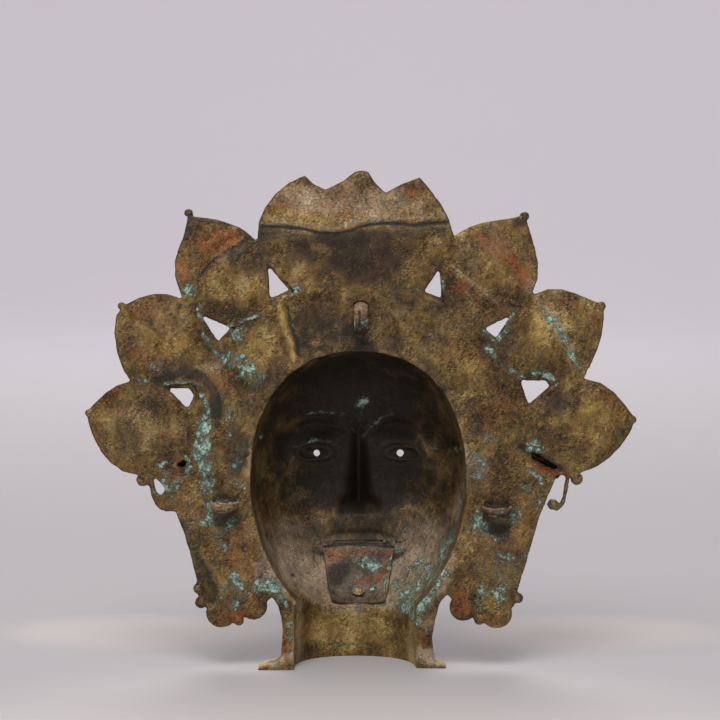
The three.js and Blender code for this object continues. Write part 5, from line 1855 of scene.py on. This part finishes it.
@dataclass(frozen=True)
class CordLoop:
    """A stout cast loop behind the plate, on two spread feet."""

    view: PhotoView
    node: str
    x: float
    z: float
    upright: bool
    drop: float
    half_span: float
    radius: float
    wide: float
    base: float = 2.2
    reach: float = 12.6
    steps: int = 26
    sides: int = 20
    foot_flare: float = 1.05
    foot_depth: float = 2.9

    def path(self) -> list[Vector]:
        """Middle line of the loop, from foot to foot.

        Returns:
            Its points, in millimetres.
        """
        made = []
        for i in range(self.steps + 1):
            turn = math.pi * i / self.steps
            off, out = self.half_span * math.cos(turn), math.sin(turn)
            y = self.base + (self.reach - self.base) * out
            made.append(Vector((self.x, y, self.z + off)) if self.upright
                        else Vector((self.x + off, y, self.z - self.drop * out)))
        sunk = Vector((0, self.foot_depth, 0))
        return [made[0] - sunk, *made, made[-1] - sunk]

    def build(self) -> bpy.types.Object:
        """Builds, paints and dresses the loop.

        Returns:
            The finished piece.
        """
        shape = bmesh.new()
        path = self.path()
        across = Vector((1, 0, 0)) if self.upright else Vector((0, 0, 1))
        rings = []
        for i, point in enumerate(path):
            along = (path[min(i + 1, len(path) - 1)] - path[max(i - 1, 0)]).normalized()
            side = across.cross(along).normalized()
            out = along.cross(side)
            turn = Matrix((side, out, along)).transposed().to_4x4()
            share = abs(2 * i / (len(path) - 1) - 1)
            radius = self.radius * (1 + (self.foot_flare - 1) * max(0.0, (share - 0.86) / 0.14) ** 1.5)
            flat = Matrix.Diagonal((1.0, self.wide / self.radius, 1.0, 1.0))
            place = Matrix.Translation((point + Vector((0, BACK_Y, 0))) * MM) @ turn @ flat
            ring = bmesh.ops.create_circle(shape, cap_ends=False, segments=self.sides, radius=radius * MM,
                                           matrix=place)
            rings.append({edge for vertex in ring["verts"] for edge in vertex.link_edges})
        for low, high in pairwise(rings):
            bmesh.ops.bridge_loops(shape, edges=[*low, *high])
        bmesh.ops.holes_fill(shape, edges=shape.edges, sides=self.sides)
        bmesh.ops.recalc_face_normals(shape, faces=shape.faces)
        piece = new_piece(f"cord_{self.node}", mesh_from(shape, self.node))
        smoother = piece.modifiers.new("smoother", "SUBSURF")
        smoother.levels = smoother.render_levels = 2
        apply_modifiers(piece)
        shade_smooth(piece.data)
        self.crust(piece.data)
        dress(piece, self.node, LOOP_BRONZE.material())
        return piece

    def slit(self, points: Array, patchy: Array) -> Array:
        """The gap that runs along the loop's lap, a shallow groove that is painted dark as shade.

        Args:
            points: Places on the loop.
            patchy: Noise that frays its edge.

        Returns:
            1 in the gap, 0 away from it, for each place.
        """
        if self.upright:
            aside = (points[:, 0] - self.x - 1.3) / 1.5
            along = 1 - smooth_step(6.0, 9.0, np.abs(points[:, 2] - self.z))
            return smooth_step(0.45, 0.75, np.exp(-(aside**2)) * along + 0.2 * patchy)
        return smooth_step(0.46, 0.66, (points[:, 2] - self.z) / self.wide + 0.18 * patchy)

    def crust(self, mesh: bpy.types.Mesh) -> None:
        """Wears and pits the loop's skin and lays its films, with a painted highlight on its upper side and
        painted shade under it and in its slit.

        Args:
            mesh: The loop's mesh.
        """
        skin = Skin(mesh)
        uneven = 0.5 * fractal_noise(skin.points, 7, 3, 41) - 0.3
        crack = fractal_noise(skin.points * np.array([0.35, 1, 1.6]), 3.2, 2, 55)
        uneven -= 0.55 * smooth_step(0.25, 0.6, crack)
        patchy = fractal_noise(skin.points, 6, 3, 61)
        slit = self.slit(skin.points, patchy)
        uneven -= 0.7 * slit
        skin.points += skin.normals * uneven[:, None]
        low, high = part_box(self.node)
        skin.points[:, 1] = np.minimum(skin.points[:, 1], high.y / MM - BACK_Y)
        skin.write()
        # Painted highlight on the upper side, which faces the light, and painted shade on the underside and
        # in the slit.
        lit = smooth_step(-0.1, 0.8, skin.normals[:, 2]) * (1 - slit)
        shaded_under = smooth_step(-0.2, 0.5, -skin.normals[:, 2])
        films = {
            Film.HAZE_AND_SHEEN: 0.2 + (0.3 if self.upright else 0.8) * lit,
            Film.GOLD_AND_SHEEN: (0.0 if self.upright else 0.9) * lit,
            Film.SOOT_AND_SHADE: np.maximum(slit, 0.85 * shaded_under),
            Film.COPPER: 0.4 * smooth_step(0.1, 0.6, patchy),
            Film.VERDIGRIS: 0.1 + 0.6 * smooth_step(0.0, 0.5, -patchy) * (1 - 0.7 * lit),
        }
        keep_films(skin, films, -smooth_step(0.25, 0.6, crack))


# The tongue and its rivet


@dataclass(frozen=True)
class TonguePlate:
    """The bent copper plate: it hangs in the hollow, passes the slit and hangs before the lips."""

    view: PhotoView
    face: FaceForm = FaceForm()
    node: str = "tongue"
    thickness: float = 1.7
    clear: float = 3.2
    follow: float = 0.6
    mouth_z: float = 87.0
    inside_rows: tuple[float, ...] = (42, 46, 52, 60, 69, 78, 82)
    inside_half: tuple[float, float] = (20.0, 28.5)
    outside_rows: tuple[tuple[float, float, float], ...] = (
        (1, 11, 18), (7, 13.5, 17), (18, 13.5, 17), (29, 10.5, 15.5), (36, 8, 12), (39.5, 7, 6))
    columns: int = 32
    row_steps: int = 5
    corner_round: float = 4.2
    corner_rows: int = 9
    edge_round: float = 0.45

    def leaf_y(self, x: float, z: float) -> float:
        """The y of the plate inside the hollow, a little behind the chin's wall.

        Args:
            x: A place across, from the face's middle.
            z: Its height.

        Returns:
            The y of the plate there.
        """
        side, height = np.array([x]), np.array([z])
        part = self.face.fraction(side, height, INNER.grow)
        raised = self.follow * (1 - part**6) * self.face.features(side, height, INNER.thin)
        bulge = np.sqrt(np.maximum(0, 1 - part ** self.face.fullness(side, height)))
        return float(-INNER.depth * bulge[0] - raised[0]) + self.clear

    def lips_y(self) -> float:
        """The y of the face at the mouth."""
        return float(self.face.plain_skin(np.array([0.0]), np.array([self.mouth_z]), OUTER)[0])

    def rows(self) -> list[tuple[float, float | None, float]]:
        """Rows of the plate, from its lower end in the hollow to its tip outside.

        Returns:
            Height, y where it leaves the chin, and half width of each row.
        """
        low, high = self.inside_half
        last = len(self.inside_rows) - 1
        inside = [(z, None, low + (high - low) * i / last) for i, z in enumerate(self.inside_rows)]
        middle = self.mouth_z - 0.5
        lips = self.lips_y()
        through = [(self.mouth_z - 3.4, None, high), (self.mouth_z - 2.4, None, 21.0),
                   (middle, self.leaf_y(0, self.mouth_z) - 4, 20.0), (middle, lips - 7, 19.5)]
        outside = [(self.mouth_z - below, lips - ahead, half) for below, ahead, half in self.outside_rows]
        return [*inside, *through, *outside]

    def build(self) -> bpy.types.Object:
        """Builds, paints and dresses the plate.

        Returns:
            The finished piece.
        """
        middles = [(self.leaf_y(0, z) if y is None else y, z, half) for z, y, half in self.rows()]
        path = curve_through([(y, z) for y, z, _ in middles], self.row_steps)
        places = np.arange(len(path)) / self.row_steps
        halves = np.interp(places, range(len(middles)), [half for _, _, half in middles])
        inside_share = (len(self.inside_rows) + 0.4) / (len(middles) - 1)
        shape = bmesh.new()
        bmesh.ops.create_grid(shape, x_segments=self.columns, y_segments=len(path) - 1, size=0.5)
        for vertex in shape.verts:
            share = 2 * vertex.co.x
            row = min(round((vertex.co.y + 0.5) * (len(path) - 1)), len(path) - 1)
            y, z = path[row]
            x = share * float(halves[row])
            chin = self.leaf_y(x, z) - self.leaf_y(0, z)
            done = np.array(row / (len(path) - 1))
            follow = 1 - float(smooth_step(inside_share - 0.1, inside_share, done))
            rounding = self.corner_round * max(0.0, 1 - row / self.corner_rows) * abs(share) ** 2.6
            vertex.co = Vector((self.face.middle_x + x, BACK_Y + y + chin * follow, z + rounding)) * MM
        bmesh.ops.recalc_face_normals(shape, faces=shape.faces)
        piece = new_piece("tongue_plate", mesh_from(shape, self.node))
        self.thicken(piece)
        shade_smooth(piece.data)
        self.age(piece.data)
        dress(piece, self.node, AGED_COPPER.material())
        return piece

    def thicken(self, piece: bpy.types.Object) -> None:
        """Gives the sheet its thickness and rounds its edges.

        Args:
            piece: The plate.
        """
        wall = piece.modifiers.new("wall", "SOLIDIFY")
        wall.thickness = self.thickness * MM
        wall.offset = 1.0
        wall.use_even_offset = True
        edges = piece.modifiers.new("edges", "BEVEL")
        edges.width = self.edge_round * MM
        edges.segments = 2
        edges.limit_method = "ANGLE"
        edges.angle_limit = math.radians(50)
        apply_modifiers(piece)

    def age(self, mesh: bpy.types.Mesh) -> None:
        """Dents the plate and lays its films.

        Args:
            mesh: The plate's mesh.
        """
        painter = Painter(self.view)
        skin = Skin(mesh)
        dents = 0.22 * fractal_noise(skin.points, 15, 2, 71)
        skin.points[:, 1] += dents
        skin.write()
        films = painter.films(skin, TONGUE)
        front = 1 - painter.behind(skin)
        films[Film.SOOT_AND_SHADE] = np.maximum(films[Film.SOOT_AND_SHADE], 0.35 * front)
        keep_films(skin, films, np.zeros(len(skin.points)))


@dataclass(frozen=True)
class TongueRivet:
    """The rivet that holds the plate to the chin, with its hammered head in the hollow."""

    view: PhotoView
    plate: TonguePlate
    node: str = "tongue_rivet"
    x: float = 0.0
    z: float = 49.0
    shaft: float = 2.4
    head: float = 5.2
    reach: float = 12.0
    seat: float = 1.9
    head_rings: Rings = (
        (1, 0), (1, 0.7), (0.93, 1.1), (0.8, 0.95), (0.7, 0.8), (0.6, 1.5), (0.4, 1.9), (0.15, 2), (0, 2))
    films: tuple[tuple[Film, float], ...] = (
        (Film.SOOT_AND_SHADE, 0.35), (Film.COPPER, 0.3), (Film.GOLD_AND_SHEEN, 0.4), (Film.HAZE_AND_SHEEN, 0.45), (Film.VERDIGRIS, 0.25))
    wear: float = 0.3

    def build(self) -> bpy.types.Object:
        """Builds, paints and dresses the rivet.

        Returns:
            The finished piece.
        """
        profile = [(0, -self.reach), (self.shaft * 0.7, -self.reach), (self.shaft, 0.7 - self.reach),
                   (self.shaft, self.seat)]
        profile += [(self.head * share, self.seat + y) for share, y in self.head_rings]
        corners = [Vector((radius, y, 0)) * MM for radius, y in profile]
        shape = turned(corners, Vector((0, 0, 0)), (0, 1, 0), 40)
        step = 0.5
        slope = (self.plate.leaf_y(0, self.z + step) - self.plate.leaf_y(0, self.z - step)) / (2 * step)
        middle = Vector((self.plate.face.middle_x + self.x, BACK_Y + self.plate.leaf_y(0, self.z), self.z))
        turn = Matrix.Translation(middle * MM) @ Matrix.Rotation(-math.atan(slope), 4, "X")
        bmesh.ops.transform(shape, matrix=turn, verts=shape.verts)
        piece = new_piece("rivet_of_tongue", mesh_from(shape, self.node))
        smoother = piece.modifiers.new("smoother", "SUBSURF")
        smoother.levels = smoother.render_levels = 1
        apply_modifiers(piece)
        shade_smooth(piece.data)
        skin = Skin(piece.data)
        skin.points += skin.normals * (0.16 * fractal_noise(skin.points, 3.2, 2, 83))[:, None]
        skin.write()
        ones = np.ones(len(skin.points))
        keep_films(skin, {film: strength * ones for film, strength in self.films}, self.wear * ones)
        dress(piece, self.node, RIVET_BRONZE.material())
        return piece


# The studio


@dataclass(frozen=True)
class SoftLight:
    """A square of soft light, in metres and watts."""

    name: str
    place: tuple[float, float, float]
    width: float
    power: float
    colour: Colour = (1.0, 0.985, 0.97)
    aim: tuple[float, float, float] = (0.0, 0.0, 0.2)


@dataclass(frozen=True)
class Studio:
    """A pale sweep of paper all round, soft lights and a soft surrounding light."""

    view: PhotoView
    floor_radius: float = 2.9
    wall_radius: float = 4.4
    wall_height: float = 4.6
    curve_steps: int = 10
    round_steps: int = 96
    floor_colour: Colour = (0.385, 0.370, 0.380)
    wall_colour: Colour = (0.46, 0.437, 0.463)
    # Painted light on the floor: a pool in front of the mask, towards the camera, and one on each side of
    # it, which lift its cast shadows.
    near_light_colour: Colour = (0.58, 0.542, 0.535)
    near_light_pool: tuple[float, float, float, float] = (0.0, 0.42, 0.42, 0.45)
    side_light_colour: Colour = (0.475, 0.440, 0.430)
    side_light_pool: tuple[float, float, float, float] = (0.18, -0.10, 0.14, 0.09)
    lights: tuple[SoftLight, ...] = (
        SoftLight("top softbox", (0.3, 1.4, 2.3), 1.4, 40.0),
        SoftLight("left softbox", (2.2, 1.6, 1.1), 1.4, 3.5),
        SoftLight("right softbox", (-2.2, 1.7, 1.0), 1.4, 3.0),
        SoftLight("front softbox", (0.3, -2.0, 1.8), 1.6, 12.0),
    )
    air_colour: Colour = (0.95, 0.95, 1.0)
    air_strength: float = 0.5
    wall_lights: tuple[SoftLight, ...] = (
        SoftLight("far wall light", (0.0, -2.7, 3.6), 2.6, 108.0, aim=(0.0, -3.7, 0.0)),
        SoftLight("near wall light", (0.0, 2.6, 4.2), 2.0, 55.0, aim=(0.0, 4.4, 1.6)),
    )

    def sweep(self) -> bpy.types.Object:
        """Lays the paper: a level floor that curves up into a round wall.

        Returns:
            The paper.
        """
        rise = self.wall_radius - self.floor_radius
        arc = [math.pi / 2 * i / self.curve_steps for i in range(self.curve_steps + 1)]
        bend = [(self.floor_radius + rise * math.sin(turn), rise * (1 - math.cos(turn))) for turn in arc]
        profile = [(0.0, 0.0), *bend, (self.wall_radius, self.wall_height)]
        corners = [Vector((radius, 0, z)) for radius, z in profile]
        mesh = mesh_from(turned(corners, Vector((0, 0, 0)), (0, 0, 1), self.round_steps), "paper_sweep")
        paper = new_piece("paper_sweep", mesh)
        shade_smooth(mesh)
        mesh.materials.append(self.paper())
        return paper

    def pool(self, tree: NodeTree, split: bpy.types.Node, oval: tuple[float, ...]) -> Socket:
        """Share of a soft oval on the floor, alike on both sides.

        Args:
            tree: The paper's nodes.
            split: The node that holds the paper's coordinates.
            oval: Middle and half widths of the oval along x and y, in metres.

        Returns:
            1 in the oval's middle, 0 outside it.
        """
        middle_x, middle_y, wide, deep = oval
        side = tree.math("ABSOLUTE", split.outputs["X"], 0.0)
        across = tree.weighted([(side, 1 / wide)], -middle_x / wide)
        along = tree.weighted([(split.outputs["Y"], 1 / deep)], -middle_y / deep)
        square = tree.math("ADD", tree.math("POWER", tree.math("ABSOLUTE", across, 0.0), 2.0),
                           tree.math("POWER", tree.math("ABSOLUTE", along, 0.0), 2.0))
        return tree.ease(square, 1.0, 0.1)

    def paper(self) -> bpy.types.Material:
        """Matt paper, warmer on the floor than on the wall, with painted pools of light on the floor in
        front of the mask and beside it.

        Returns:
            The material.
        """
        tree = NodeTree("studio paper")
        split = tree.nodes.new("ShaderNodeSeparateXYZ")
        tree.links.new(tree.coordinates, split.inputs[0])
        floor = tree.mix(self.pool(tree, split, self.near_light_pool), self.floor_colour, self.near_light_colour)
        floor = tree.mix(self.pool(tree, split, self.side_light_pool), floor, self.side_light_colour)
        share = tree.math("MAXIMUM", tree.ease(split.outputs["Z"], 0.0, 0.3),
                          tree.ease(split.outputs["Y"], -0.4, -2.8))
        tree.put(tree.shader.inputs["Base Color"], tree.mix(share, floor, self.wall_colour))
        tree.shader.inputs["Roughness"].default_value = 0.9
        tree.shader.inputs["Specular IOR Level"].default_value = 0.15
        return tree.material

    def light(self, lamp: SoftLight) -> None:
        """Hangs one soft light.

        Args:
            lamp: The light.
        """
        data = bpy.data.lights.new(lamp.name, "AREA")
        data.shape = "SQUARE"
        data.size = lamp.width
        data.energy = lamp.power
        data.color = lamp.colour
        made = bpy.data.objects.new(lamp.name, data)
        made.location = lamp.place
        made.rotation_euler = (Vector(lamp.aim) - Vector(lamp.place)).to_track_quat("-Z", "Y").to_euler()
        bpy.context.scene.collection.objects.link(made)

    def build(self) -> None:
        """Lays the paper, hangs the lights and places the camera."""
        self.sweep()
        for lamp in (*self.lights, *self.wall_lights):
            self.light(lamp)
        world = bpy.data.worlds.new("studio air")
        world.use_nodes = True
        air = world.node_tree.nodes["Background"]
        air.inputs["Color"].default_value = (*self.air_colour, 1.0)
        air.inputs["Strength"].default_value = self.air_strength
        scene = bpy.context.scene
        scene.world = world
        scene.view_settings.view_transform = "Standard"
        self.view.place_camera()


def main() -> None:
    """Builds the studio and every piece of the mask in order."""
    logging.basicConfig(level=logging.INFO, format="%(name)s: %(message)s")
    view = PhotoView()
    Studio(view).build()
    MaskCasting(view).build()
    CordLoop(view, "loop_top", 0.0, 271.5, upright=True, drop=0.0, half_span=8.7, radius=4.1,
             wide=5.8).build()
    CordLoop(view, "loop_left", 104.5, 127.2, upright=False, drop=-0.9, half_span=7.1, radius=4.2,
             wide=7.2).build()
    CordLoop(view, "loop_right", -104.5, 124.4, upright=False, drop=-0.5, half_span=7.9, radius=3.9,
             wide=5.4).build()
    plate = TonguePlate(view)
    plate.build()
    TongueRivet(view, plate).build()


if __name__ == "__main__":
    main()
